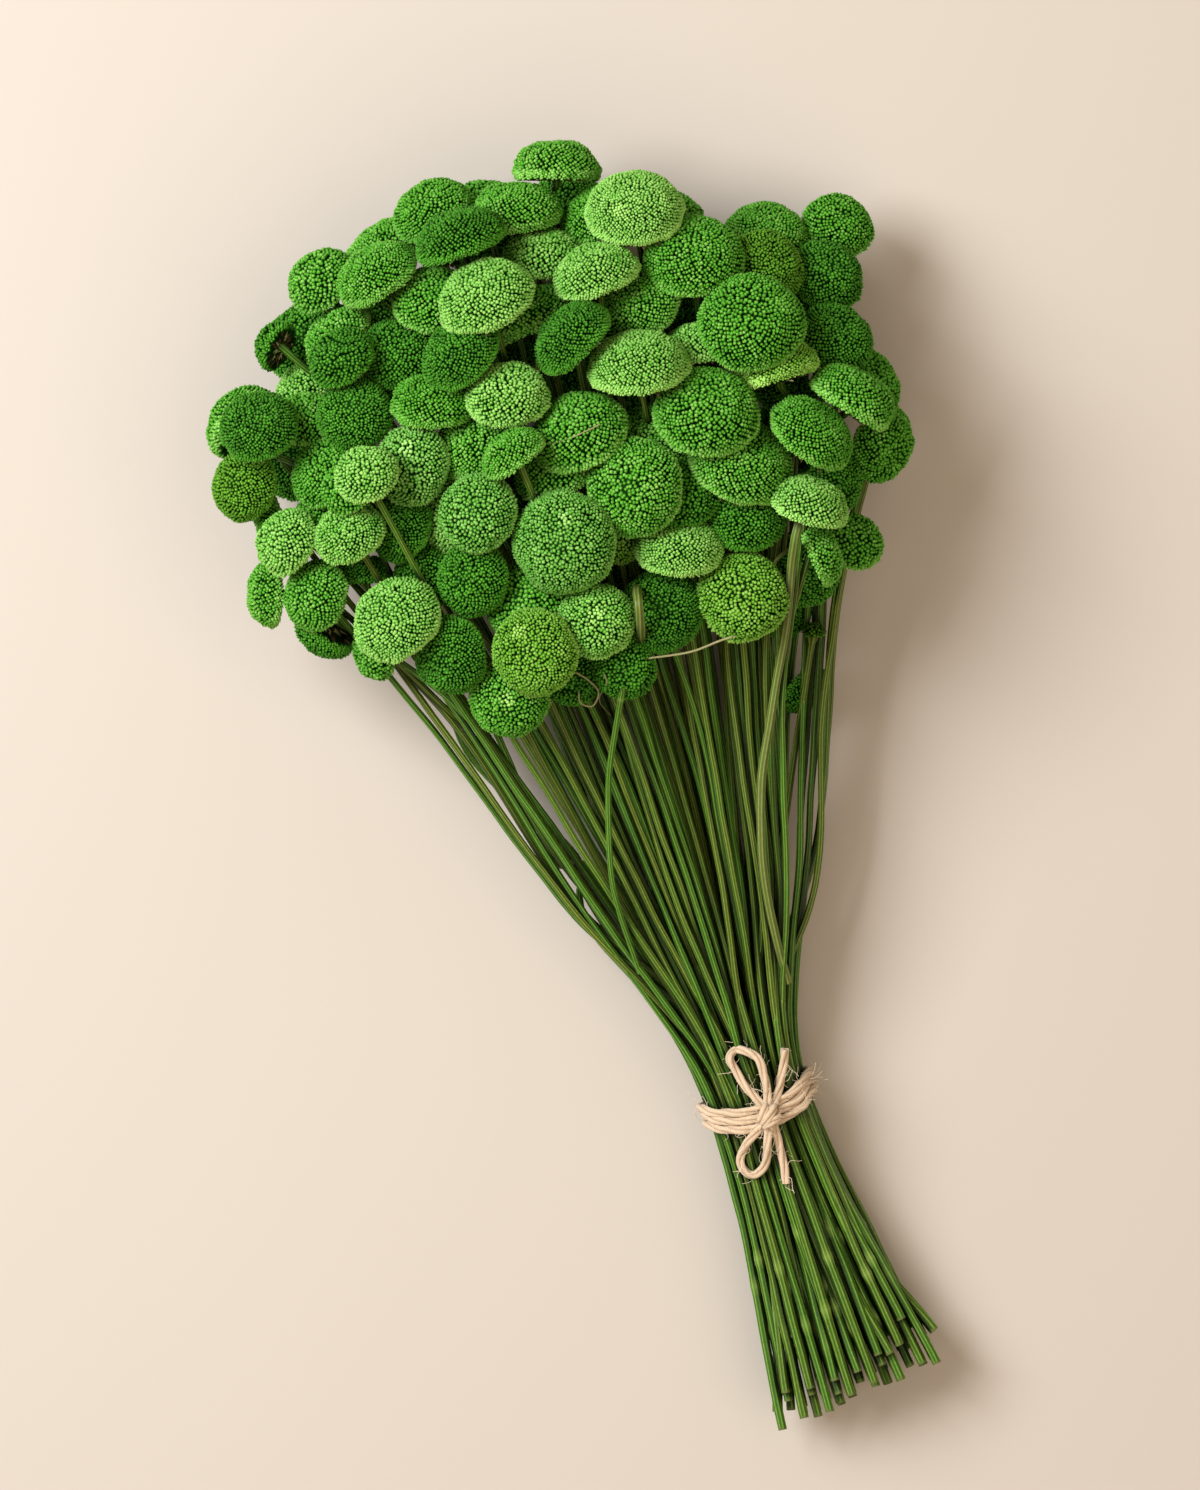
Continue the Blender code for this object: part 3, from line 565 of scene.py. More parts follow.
class Tree:
    """A node tree, with short words for adding its nodes and linking them."""

    def __init__(self, tree: bpy.types.NodeTree) -> None:
        """Keep the tree that nodes are added to."""
        self.tree = tree

    def add(self, kind: str, inputs: dict | None = None, **settings: object) -> bpy.types.Node:
        """Add a node.

        Args:
            kind: The node's type name.
            inputs: Values or sockets for its inputs, by name or number.
            settings: Its own properties.

        Returns:
            The new node.
        """
        node = self.tree.nodes.new(kind)
        for name, value in settings.items():
            setattr(node, name, value)
        for key, value in (inputs or {}).items():
            self.feed(node.inputs[key], value)
        return node

    def made(self, kind: str, inputs: dict | None = None, **settings: object) -> Socket:
        """Add a node and give its first output."""
        return self.add(kind, inputs, **settings).outputs[0]

    def feed(self, socket: Socket, value: object) -> None:
        """Link a socket to an input, or set the input's value.

        Args:
            socket: The input.
            value: A socket, or a plain value.
        """
        if isinstance(value, Socket):
            self.tree.links.new(value, socket)
        else:
            socket.default_value = value

    def math(self, operation: str, *values: object) -> Socket:
        """Add a math node and give its result."""
        return self.made("ShaderNodeMath", dict(enumerate(values)), operation=operation)

    def times(self, first: object, second: object) -> Socket:
        """Multiply two numbers."""
        return self.math("MULTIPLY", first, second)

    def over(self, first: object, second: object) -> Socket:
        """Divide a number by another."""
        return self.math("DIVIDE", first, second)

    def plus(self, first: object, second: object) -> Socket:
        """Add two numbers."""
        return self.math("ADD", first, second)

    def minus(self, first: object, second: object) -> Socket:
        """Take a number from another."""
        return self.math("SUBTRACT", first, second)

    def slope(self, value: object, steep: object, start: object) -> Socket:
        """Give a value times a steepness, plus a start."""
        return self.math("MULTIPLY_ADD", value, steep, start)

    def vector(self, operation: str, *values: object) -> Socket:
        """Add a vector math node.

        Args:
            operation: What it does.
            values: Its vectors, or sockets for them.

        Returns:
            The result, which is a number for a length.
        """
        node = self.add("ShaderNodeVectorMath", dict(enumerate(values)), operation=operation)
        return node.outputs["Value" if operation == "LENGTH" else 0]

    def scaled(self, vector: object, factor: object) -> Socket:
        """Scale a vector by a number."""
        return self.made("ShaderNodeVectorMath", {0: vector, "Scale": factor}, operation="SCALE")

    def combine(self, x: object, y: object, z: object) -> Socket:
        """Join three numbers into a vector."""
        return self.made("ShaderNodeCombineXYZ", {"X": x, "Y": y, "Z": z})

    def split(self, vector: object) -> tuple[Socket, ...]:
        """Give a vector's three numbers."""
        return tuple(self.add("ShaderNodeSeparateXYZ", {0: vector}).outputs)

    def fit(self, value: object, low: float, high: float, to_low: object = 0.0,
            to_high: object = 1.0) -> Socket:
        """Map a number smoothly from one range to another, and hold it at the ends.

        Args:
            value: The number.
            low: Start of its range.
            high: End of its range.
            to_low: Result at the start.
            to_high: Result at the end.

        Returns:
            The mapped number.
        """
        ends = {"From Min": low, "From Max": high, "To Min": to_low, "To Max": to_high}
        inputs = {"Value": value} | ends
        return self.made("ShaderNodeMapRange", inputs, interpolation_type="SMOOTHSTEP")

    def noise(self, place: object, scale: float, detail: float = 2.0,
              roughness: float = 0.5) -> Socket:
        """Read a noise from 0 to 1 at a place."""
        inputs = {"Vector": place, "Scale": scale, "Detail": detail, "Roughness": roughness}
        return self.made("ShaderNodeTexNoise", inputs)

    def mix(self, share: object, first: object, second: object) -> Socket:
        """Mix two colours.

        Args:
            share: How much of the second one is taken.
            first: The first colour, as a socket or three numbers.
            second: The second colour.

        Returns:
            The mixed colour.
        """
        node = self.add("ShaderNodeMix", {"Factor": share}, data_type="RGBA")
        for number, colour in ((6, first), (7, second)):
            self.feed(node.inputs[number], (*colour, 1.0) if isinstance(colour, tuple) else colour)
        return node.outputs[2]


class GrowTree(Tree):
    """A tree of geometry nodes with named inputs."""

    def __init__(self, name: str, sizes: dict[str, float]) -> None:
        """Start the tree.

        Args:
            name: The tree's name.
            sizes: Its named inputs, in metres or as shares.
        """
        super().__init__(bpy.data.node_groups.new(name, "GeometryNodeTree"))
        face = self.tree.interface
        face.new_socket("Geometry", in_out="INPUT", socket_type="NodeSocketGeometry")
        for label, value in sizes.items():
            item = face.new_socket(label, in_out="INPUT", socket_type="NodeSocketFloat")
            item.default_value = value
        face.new_socket("Geometry", in_out="OUTPUT", socket_type="NodeSocketGeometry")
        self.given = self.add("NodeGroupInput")
        self.result = self.add("NodeGroupOutput")
        self.sizes = sizes

    def size(self, label: str) -> Socket:
        """Give the socket of a named input."""
        return self.given.outputs[label]

    def read(self, name: str, kind: str = "FLOAT") -> Socket:
        """Read a named attribute."""
        return self.made("GeometryNodeInputNamedAttribute", {"Name": name}, data_type=kind)

    def direction(self, name: str) -> Socket:
        """Read a named attribute that is a vector."""
        return self.read(name, "FLOAT_VECTOR")

    def position(self) -> Socket:
        """Give the place of each point."""
        return self.made("GeometryNodeInputPosition")

    def store(self, geometry: object, name: str, value: object, kind: str = "FLOAT",
              domain: str = "POINT") -> Socket:
        """Store a value on the geometry.

        Args:
            geometry: The geometry.
            name: Name of the attribute.
            value: Its value.
            kind: Its data type.
            domain: What it is stored on.

        Returns:
            The geometry with the attribute.
        """
        inputs = {"Geometry": geometry, "Name": name, "Value": value}
        return self.made("GeometryNodeStoreNamedAttribute", inputs, data_type=kind, domain=domain)

    def store_map(self, geometry: object, name: str, place: object) -> Socket:
        """Store a map for materials on the geometry."""
        return self.store(geometry, name, place, "FLOAT2", "CORNER")

    def chance(self, low: float, high: float, seed: int, key: object = None) -> Socket:
        """Draw a number for each element.

        Args:
            low: Least number.
            high: Greatest number.
            seed: The draw's own seed.
            key: What tells the elements apart, or nothing for their own numbers.

        Returns:
            The number drawn.
        """
        inputs = {2: low, 3: high, "Seed": seed} | ({} if key is None else {"ID": key})
        return self.add("FunctionNodeRandomValue", inputs, data_type="FLOAT").outputs[1]

    def turn_to(self, axis: object, side: object = (1.0, 0.0, 0.0)) -> Socket:
        """Give the rotation that stands something up along an axis."""
        axes = {"primary_axis": "Z", "secondary_axis": "X"}
        return self.made("FunctionNodeAxesToRotation", {0: axis, 1: side}, **axes)

    def turned(self, vector: object, rotation: object) -> Socket:
        """Turn a vector."""
        return self.made("FunctionNodeRotateVector", {0: vector, 1: rotation})

    def put(self, geometry: object, place: object) -> Socket:
        """Put each point of a geometry at a place."""
        return self.made("GeometryNodeSetPosition", {"Geometry": geometry, "Position": place})

    def shift(self, geometry: object, offset: object) -> Socket:
        """Shift each point of a geometry."""
        return self.made("GeometryNodeSetPosition", {"Geometry": geometry, "Offset": offset})

    def smooth(self, geometry: object) -> Socket:
        """Shade a geometry smooth."""
        return self.made("GeometryNodeSetShadeSmooth", {"Geometry": geometry})

    def plant(self, points: object, shape: object, rotation: object = None,
              size: tuple | None = None) -> Socket:
        """Set a copy of a shape on each point, as real geometry.

        Args:
            points: The points.
            shape: What is copied.
            rotation: How each copy is turned, if it is.
            size: Its width, depth and height, if they change.

        Returns:
            The copies.
        """
        inputs = {"Points": points, "Instance": shape}
        if rotation is not None:
            inputs["Rotation"] = rotation
        if size is not None:
            inputs["Scale"] = self.combine(*size)
        grown = self.made("GeometryNodeInstanceOnPoints", inputs)
        return self.made("GeometryNodeRealizeInstances", {"Geometry": grown})

    def copies(self, points: object, amount: object) -> tuple[Socket, ...]:
        """Copy each point, and give the copies and the number of each."""
        inputs = {"Geometry": points, "Amount": amount}
        return tuple(self.add("GeometryNodeDuplicateElements", inputs, domain="POINT").outputs)

    def curves_along(self, lines: object, step: object) -> Socket:
        """Turn lines into soft curves with even steps.

        Args:
            lines: Mesh of points and edges.
            step: Length of a step.

        Returns:
            The curves.
        """
        curves = self.made("GeometryNodeMeshToCurve", {"Mesh": lines})
        curves = self.made("GeometryNodeCurveSplineType", {"Curve": curves}, spline_type="CATMULL_ROM")
        return self.made("GeometryNodeResampleCurve", {"Curve": curves, "Length": step}, mode="LENGTH")

    def wander(self, curves: object, place: object, scale: float, reach: float) -> Socket:
        """Let curves stray a little from their lines.

        Args:
            curves: The curves.
            place: Where the noise that leads them is read.
            scale: How fast the noise changes.
            reach: How far it leads them, from end to end.

        Returns:
            The curves.
        """
        inputs = {"Vector": place, "Scale": scale, "Detail": 1.0}
        noise = self.add("ShaderNodeTexNoise", inputs).outputs[1]
        return self.shift(curves, self.scaled(self.vector("SUBTRACT", noise, (0.5, 0.5, 0.5)), reach))

    def twist(self, curves: object, angle: object) -> Socket:
        """Twist what is swept along curves."""
        return self.made("GeometryNodeSetCurveTilt", {"Curve": curves, "Tilt": angle})

    def ring(self, sides: int, radius: float) -> Socket:
        """Make a round profile."""
        return self.made("GeometryNodeCurvePrimitiveCircle", {"Resolution": sides, "Radius": radius})

    def cone(self, sides: int, rows: int, radius: float, foot: str) -> Socket:
        """Make a pointed cone, one unit high.

        Args:
            sides: Number of its sides.
            rows: Number of rows of faces up each side.
            radius: Radius of its foot.
            foot: How the foot is closed: "NONE" or "NGON".

        Returns:
            The cone.
        """
        inputs = {"Vertices": sides, "Side Segments": rows, "Radius Bottom": radius}
        inputs |= {"Radius Top": 0.0, "Depth": 1.0}
        return self.made("GeometryNodeMeshCone", inputs, fill_type=foot)

    def sweep(self, curves: object, profile: object, thick: object) -> Socket:
        """Sweep a profile along curves, with closed ends."""
        inputs = {"Curve": curves, "Profile Curve": profile, "Scale": thick, "Fill Caps": True}
        return self.made("GeometryNodeCurveToMesh", inputs)

    def folded(self, around: object) -> Socket:
        """Fold a run round a profile in two, so that it meets itself without a seam."""
        return self.math("ABSOLUTE", self.slope(around, 2.0, -1.0))

    def join(self, *parts: object) -> Socket:
        """Join several geometries.

        Args:
            parts: The geometries, in the order that they are kept in.

        Returns:
            All of them as one.
        """
        node = self.add("GeometryNodeJoinGeometry")
        for part in reversed(parts):
            self.feed(node.inputs[0], part)
        return node.outputs[0]

    def finish(self, geometry: object, dress: dict[Stuff, bpy.types.Material]) -> None:
        """End the tree in real faces with their materials, pressed flat where the floor is.

        Args:
            geometry: What the tree made; its attribute "stuff" says what each face is of.
            dress: The material for each stuff.
        """
        made = self.made("GeometryNodeRealizeInstances", {"Geometry": geometry})
        across, along, height = self.split(self.position())
        made = self.put(made, self.combine(across, along, self.math("MAXIMUM", height, FLOOR_GAP)))
        stuff = self.read("stuff")
        for kind, material in dress.items():
            same = self.math("COMPARE", stuff, kind.value, 0.1)
            node = self.add("GeometryNodeSetMaterial", {"Geometry": made, "Selection": same})
            node.inputs["Material"].default_value = material
            made = node.outputs[0]
        self.feed(self.result.inputs[0], made)

    def grow(self, name: str, start: bpy.types.Mesh) -> bpy.types.Mesh:
        """Run the tree on a mesh.

        Args:
            name: Name for the mesh.
            start: Mesh of points and edges that the tree grows on.

        Returns:
            A plain mesh of all that the tree made.
        """
        carrier = in_scene(name, start)
        modifier = carrier.modifiers.new("grow", "NODES")
        modifier.node_group = self.tree
        for item in self.tree.interface.items_tree:
            if item.in_out == "INPUT" and item.name in self.sizes:
                modifier[item.identifier] = self.sizes[item.name]
        graph = bpy.context.evaluated_depsgraph_get()
        mesh = bpy.data.meshes.new_from_object(
            carrier.evaluated_get(graph), preserve_all_data_layers=True, depsgraph=graph
        )
        carrier.modifiers.remove(modifier)
        bpy.data.objects.remove(carrier)
        mesh.name = name
        return mesh


class Finish(Tree):
    """A material's node tree with its Principled shader."""

    def __init__(self, name: str) -> None:
        """Start a material.

        Args:
            name: The material's name.
        """
        self.material = bpy.data.materials.new(name)
        self.material.use_nodes = True
        super().__init__(self.material.node_tree)
        self.shader = self.tree.nodes["Principled BSDF"]

    def read(self, name: str) -> Socket:
        """Read a number that the trees stored on the mesh."""
        return self.add("ShaderNodeAttribute", attribute_name=name).outputs["Fac"]

    def object_place(self) -> Socket:
        """Give the place on the object."""
        return self.add("ShaderNodeTexCoord").outputs["Object"]

    def ramp(self, value: object, stops: list[tuple[float, tuple]]) -> Socket:
        """Read a colour from a ramp.

        Args:
            value: Place on the ramp, from 0 to 1.
            stops: Pairs of a place and a linear colour.

        Returns:
            The colour's socket.
        """
        node = self.add("ShaderNodeValToRGB", {0: value})
        items = node.color_ramp.elements
        while len(items) < len(stops):
            items.new(0.5)
        for item, (place, colour) in zip(items, stops):
            item.position = place
            item.color = (*colour, 1.0)
        return node.outputs[0]

    def palette_place(self) -> tuple[Socket, ...]:
        """Read the palette map.

        Returns:
            How light the face is, the number of its band, and the place in the band.
        """
        light, row, _ = self.split(self.made("ShaderNodeUVMap", uv_map=BAKE_MAP))
        banded = self.times(row, PALETTE_BANDS)
        return light, self.math("FLOOR", banded), self.math("FRACT", banded)

    def bump(self, height: object, depth: float, strength: float) -> None:
        """Give the shader a bump of a height from 0 to 1."""
        inputs = {"Height": height, "Distance": depth, "Strength": strength}
        self.feed(self.shader.inputs["Normal"], self.made("ShaderNodeBump", inputs))

    def done(self, colour: Socket, **values: float) -> bpy.types.Material:
        """Give the shader its colour and its own numbers.

        Args:
            colour: The base colour.
            values: The shader's sockets by their names, with underscores for spaces.

        Returns:
            The material.
        """
        self.feed(self.shader.inputs["Base Color"], colour)
        for name, value in values.items():
            self.shader.inputs[name.replace("_", " ")].default_value = value
        return self.material


@dataclass(frozen=True)
class FloretFinish:
    """Dyed florets by family of dye, with painted shade in the gaps between them and a painted
    highlight at their tips.

    A reach is a range of a number, with what it becomes where that isn't 0 to 1.
    """

    families: tuple = (
        ((0.010, 0.092, 0.002), (0.097, 0.400, 0.026), (0.460, 0.845, 0.210)),
        ((0.031, 0.108, 0.002), (0.140, 0.405, 0.026), (0.470, 0.820, 0.175)),
        ((0.017, 0.113, 0.010), (0.124, 0.415, 0.047), (0.460, 0.840, 0.235)),
    )
    # Painted shade: florets darkened towards their feet, in the gaps between them.
    gap_shade_reach: tuple = (0.45, 0.85, 0.12, 0.27)
    gap_shade_tint: tuple = (0.45, 1.0, 0.35)
    gap_shade_fade: tuple = (0.50, 0.86)
    # Painted highlight: the pale yellow green that lifts each floret's tip.
    tip: tuple = (0.640, 0.900, 0.330)
    tip_highlight_reach: tuple = (0.82, 0.92)
    tip_highlight_share: float = 0.28
    roughness: float = 0.75
    shine: float = 0.08

    def make(self) -> bpy.types.Material:
        """Make the material, which reads only the palette map.

        Returns:
            The material.
        """
        finish = Finish("dyed_florets")
        light, band, along = finish.palette_place()
        tones = [
            finish.ramp(light, [(0.0, dark), (0.5, middle), (1.0, pale)])
            for dark, middle, pale in self.families
        ]
        colour = tones[0]
        for number, tone in enumerate(tones[1:], 1):
            chosen = finish.math("COMPARE", band, float(number), 0.1)
            colour = finish.mix(chosen, colour, tone)
        # Painted shade in the gaps between florets, deeper and greener for darker heads.
        painted_shade = finish.scaled(colour, finish.fit(light, *self.gap_shade_reach))
        painted_shade = finish.vector("MULTIPLY", painted_shade, self.gap_shade_tint)
        colour = finish.mix(finish.fit(along, *self.gap_shade_fade), painted_shade, colour)
        # Painted highlight on the floret tips.
        tip_highlight_share = finish.times(finish.fit(along, *self.tip_highlight_reach), self.tip_highlight_share)
        colour = finish.mix(tip_highlight_share, colour, self.tip)
        return finish.done(colour, Roughness=self.roughness, Specular_IOR_Level=self.shine)


@dataclass(frozen=True)
class BractFinish:
    """Dry brown bracts under a head, with a few straw-coloured ones."""

    root: tuple = (0.040, 0.018, 0.013)
    tip: tuple = (0.200, 0.110, 0.065)
    straw: tuple = (0.480, 0.460, 0.230)
    shade_reach: tuple = (0.0, 0.8, 0.5, 1.5)
    straw_reach: tuple = (0.72, 0.78)
    roughness: float = 0.8
    shine: float = 0.2

    def make(self) -> bpy.types.Material:
        """Make the material.

        Returns:
            The material.
        """
        finish = Finish("dry_bracts")
        light, _, along = finish.palette_place()
        colour = finish.mix(along, self.root, self.tip)
        colour = finish.scaled(colour, finish.fit(light, *self.shade_reach))
        colour = finish.mix(finish.fit(light, *self.straw_reach), colour, self.straw)
        return finish.done(colour, Roughness=self.roughness, Specular_IOR_Level=self.shine)


@dataclass(frozen=True)
class StemFinish:
    """Dyed, ribbed stems: olive where they dried, grass green where the dye took, with painted shade in
    their grooves and where they crowd, and pale rib tops that are partly grain and partly painted
    highlight.
    """

    olive: tuple = (0.098, 0.150, 0.012)
    grass: tuple = (0.055, 0.182, 0.009)
    # The joints' own paler colour, and the rib tops' colour, which is partly grain and partly painted
    # highlight.
    pale: tuple = (0.570, 0.800, 0.185)
    # Painted shade in the grooves between the ribs.
    dark: tuple = (0.010, 0.034, 0.002)
    cut: tuple = (0.110, 0.150, 0.035)
    # Painted shade where stems and heads crowd close, laid on by ambient occlusion.
    painted_shade: tuple = (0.006, 0.018, 0.001)
    low_green: tuple = (0.070, 0.195, 0.011)
    straw: tuple = (0.420, 0.400, 0.200)
    blotch_scale: float = 60.0
    blotch_share: float = 0.8
    mean_tint: float = 0.4
    dye_reach: tuple = (0.2, 0.8)
    low_reach: tuple = (0.30, 0.10)
    low_share: float = 0.55
    grain_scale: float = 900.0
    rib_share: float = 0.75
    rib_groove_shade_reach: tuple = (0.1, 0.55, 0.72, 0.0)
    rib_top_grain_and_highlight_reach: tuple = (0.6, 1.0, 0.0, 0.50)
    occlusion_shade_distance: float = 5.0 * MM
    occlusion_shade_samples: int = 6
    occlusion_shade_reach: tuple = (0.48, 1.0, 0.97, 0.0)
    joint_share: float = 0.18
    cut_reach: tuple = (0.005, 0.0)
    grain_height: float = 0.4
    bump_depth: float = 0.25 * MM
    bump_strength: float = 0.6
    roughness: float = 0.46
    shine: float = 0.24

    def make(self) -> bpy.types.Material:
        """Make the material.

        Returns:
            The material.
        """
        finish = Finish("ribbed_stems")
        place = finish.object_place()
        along, rib = finish.read("along"), finish.read("rib")
        blotch = finish.times(finish.noise(place, self.blotch_scale, 3.0, 0.6), self.blotch_share)
        grain = finish.noise(place, self.grain_scale, 2.0, 0.6)
        dye = finish.plus(blotch, finish.minus(finish.read("tint"), self.mean_tint))
        body = finish.mix(finish.fit(dye, *self.dye_reach), self.olive, self.grass)
        low = finish.times(finish.fit(along, *self.low_reach), self.low_share)
        body = finish.mix(low, body, self.low_green)
        ridge = finish.slope(rib, self.rib_share, finish.times(grain, 1.0 - self.rib_share))
        # Painted shade in the grooves, and pale rib tops that are partly grain and partly painted
        # highlight.
        body = finish.mix(finish.fit(ridge, *self.rib_groove_shade_reach), body, self.dark)
        body = finish.mix(finish.fit(ridge, *self.rib_top_grain_and_highlight_reach), body, self.pale)
        # Painted shade: darker where other stems and heads crowd close, by ambient occlusion.
        inputs = {"Distance": self.occlusion_shade_distance}
        occlusion = finish.add("ShaderNodeAmbientOcclusion", inputs, samples=self.occlusion_shade_samples)
        open_share = occlusion.outputs["AO"]
        body = finish.mix(finish.fit(open_share, *self.occlusion_shade_reach), body, self.painted_shade)
        body = finish.mix(finish.times(finish.read("node"), self.joint_share), body, self.pale)
        body = finish.mix(finish.read("dry"), body, self.straw)
        body = finish.mix(finish.fit(along, *self.cut_reach), body, self.cut)
        finish.bump(finish.slope(grain, self.grain_height, rib), self.bump_depth, self.bump_strength)
        return finish.done(body, Roughness=self.roughness, Specular_IOR_Level=self.shine)


@dataclass
class Lines:
    """Points and lines for the flower tree to grow on, with the values that it reads there."""

    kinds: dict = field(default_factory=lambda: {
        "is_head": "BOOLEAN", "diameter": "FLOAT", "light": "FLOAT", "family": "FLOAT",
        "seed": "FLOAT", "along": "FLOAT", "thick": "FLOAT", "tint": "FLOAT", "strip": "FLOAT",
        "strips": "FLOAT", "bead": "FLOAT", "florets": "INT", "facing": "FLOAT_VECTOR",
        "clump": "FLOAT_VECTOR", "clump_reach": "FLOAT", "dry": "FLOAT", "step": "FLOAT",
    })
    places: list[Vector] = field(default_factory=list)
    edges: list[tuple[int, int]] = field(default_factory=list)
    rows: list[dict] = field(default_factory=list)

    def add(self, way: list[Vector], rows: list[dict], shared: dict) -> None:
        """Add a line of points.

        Args:
            way: Its points.
            rows: The values that each point has to itself.
            shared: The values that all its points have.
        """
        first = len(self.places)
        self.places += way
        self.edges += [(first + n, first + n + 1) for n in range(len(way) - 1)]
        self.rows += [shared | row for row in rows]

    def mesh(self, name: str) -> bpy.types.Mesh:
        """Make the mesh of all points and lines.

        Args:
            name: Its name.

        Returns:
            The mesh.
        """
        mesh = bpy.data.meshes.new(name)
        mesh.from_pydata(self.places, self.edges, [])
        for key, kind in self.kinds.items():
            layer = mesh.attributes.new(key, kind, "POINT")
            column = [row[key] for row in self.rows]
            is_vector = kind == "FLOAT_VECTOR"
            flat = [part for item in column for part in item] if is_vector else column
            layer.data.foreach_set("vector" if is_vector else "value", flat)
        return mesh


@dataclass
class FlowerWork:
    """Grows florets, bracts and stems for the flowers of one solid at a time.

    Where a size has two numbers, they are the ends of a range, or the steepness and start of
    the line that a noise or a share is put through. Four are a range and what its ends become.
    """

    crown: float = 0.36
    underside: float = 0.12
    rim_curl: float = 0.20
    rim_drop: float = 0.12
    last_polar: float = math.radians(120.0)
    first_polar: float = 0.01
    crowding: float = 1.12
    shoulder: float = 0.85
    swell_scale: float = 1.3
    swell: tuple = (0.22, 0.89)
    lump_scale: float = 3.0
    lump: tuple = (1.8 * MM, -0.9 * MM)
    dimple: tuple = (0.05, 0.42, 0.5 * MM, 0.0)
    steepness: tuple = (-0.1, 0.1, 0.5, 1.4)
    fuller: float = 1.12
    cover: float = 7.4
    floret_spacing: float = 1.05 * MM
    disorder: float = 0.27
    floret_width: float = 0.60 * MM
    floret_height: float = 1.65 * MM
    floret_key: float = 7919.0
    head_apart: tuple = (13.1, 7.7, 3.3)
    least_sine: float = 0.15
    floret_lean: tuple = (-0.2, 0.2)
    spin_rise: float = 0.3
    floret_tall: tuple = (0.8, 1.25)
    floret_wide: tuple = (0.82, 1.2)
    floret_foot: tuple = (0.0, 0.5, 0.75, 2.0)
    floret_round: float = 0.55
    floret_sink: float = 0.66
    top_width: tuple = (0.98, 0.6, 1.15, 1.0)
    rim_reach: tuple = (0.30, -0.12)
    rim_stretch: float = 0.7
    rim_light: float = 0.13
    light_stray: tuple = (-0.13, 0.13)
    patch_scale: float = 2.6
    patch_light: tuple = (0.36, -0.18)
    clump_scale: float = 5.0
    clump_edge: tuple = (1.2, 0.4)
    clump_reach: tuple = (1.0, 0.6)
    clump_light: float = 0.34
    light_ends: tuple = (0.02, 0.98)
    floret_rows: tuple = (0.84, 0.08)
    core_inset: float = 2.4 * MM
    core_width: float = 0.48
    core_height: float = 0.96
    # Palette place of the cores, which gives them the florets' painted gap shade.
    core_shade_place: tuple = (0.3, 0.1)
    bracts_per_head: int = 40
    bract_key: float = 911.0
    bract_start: tuple = (0.08, 0.36)
    bract_tilt: tuple = (-0.16, 0.08)
    bract_length: tuple = (0.12, 0.19)
    bract_light: tuple = (0.1, 0.9)
    bract_depth: float = 0.9
    bract_thin: float = 0.22
    bract_width: float = 0.42
    bract_rows: tuple = (0.8, 3.1)
    stem_step: float = 3.5 * MM
    stem_sides: int = 14
    stem_sway: float = 1.6 * MM
    sway_scale: float = 28.0
    thick_scale: float = 45.0
    thickness: tuple = (0.36, 0.82)
    stem_apart: tuple = (3.0, 5.0, 7.0)
    joint_key: float = 13.7
    joint_place: tuple = (0.16, 0.03)
    joint_reach: float = 0.008
    joint_swell: float = 0.20
    widest_twist: float = 3.0
    rib_depth: float = 0.07
    stem_rows: tuple = (0.88, 0.06)
    cut_radius: float = 1.35 * MM
    tie_radius: float = 1.18 * MM
    fan_radius: float = 0.98 * MM
    neck_radius: float = 0.95 * MM
    neck_swell: float = 1.1
    flare_radius: float = 2.40 * MM
    flare_length: float = 4.5 * MM
    loose_step: float = 0.2
    beads: tuple = (0.90, 1.12)
    vivid_bead: float = 0.06
    head_stray: float = 0.05
    stem_depth: float = 0.6
    least_way: int = 3
    neck_clear: float = 3.0

    def __post_init__(self) -> None:
        """Make the finishes and the tree."""
        self.dress = {
            Stuff.FLORET: FloretFinish().make(),
            Stuff.BRACT: BractFinish().make(),
            Stuff.STEM: StemFinish().make(),
        }
        self.tree = GrowTree("grow_flowers", {
            "Crown": self.crown, "Underside": self.rim_curl, "Rim drop": self.rim_drop,
            "Floret width": self.floret_width, "Floret height": self.floret_height,
            "Rim stretch": self.rim_stretch, "Stem step": self.stem_step, "Rib depth": self.rib_depth,
        })
        self.fill_tree()

    def fill_tree(self) -> None:
        """Build the tree that grows on head points and stem lines."""
        tree = self.tree
        inputs = {"Geometry": tree.size("Geometry"), "Selection": tree.read("is_head")}
        heads, stems = tree.add("GeometryNodeSeparateGeometry", inputs, domain="POINT").outputs
        points = tree.made("GeometryNodeMeshToPoints", {"Mesh": heads})
        grown = [part(points) for part in (self.florets, self.cores, self.bracts)]
        tree.finish(tree.join(*grown, self.stems(stems)), self.dress)

    def marked(self, faces: object, light: object, row: object, stuff: Stuff) -> Socket:
        """Give faces their place in the palette and what they are made of.

        Args:
            faces: The faces.
            light: How light they are, from 0 to 1.
            row: Place across the palette, from 0 to 1.
            stuff: What they are made of.

        Returns:
            The faces, marked.
        """
        mapped = self.tree.store_map(faces, BAKE_MAP, self.tree.combine(light, row, 0.0))
        return self.tree.store(mapped, "stuff", stuff.value)

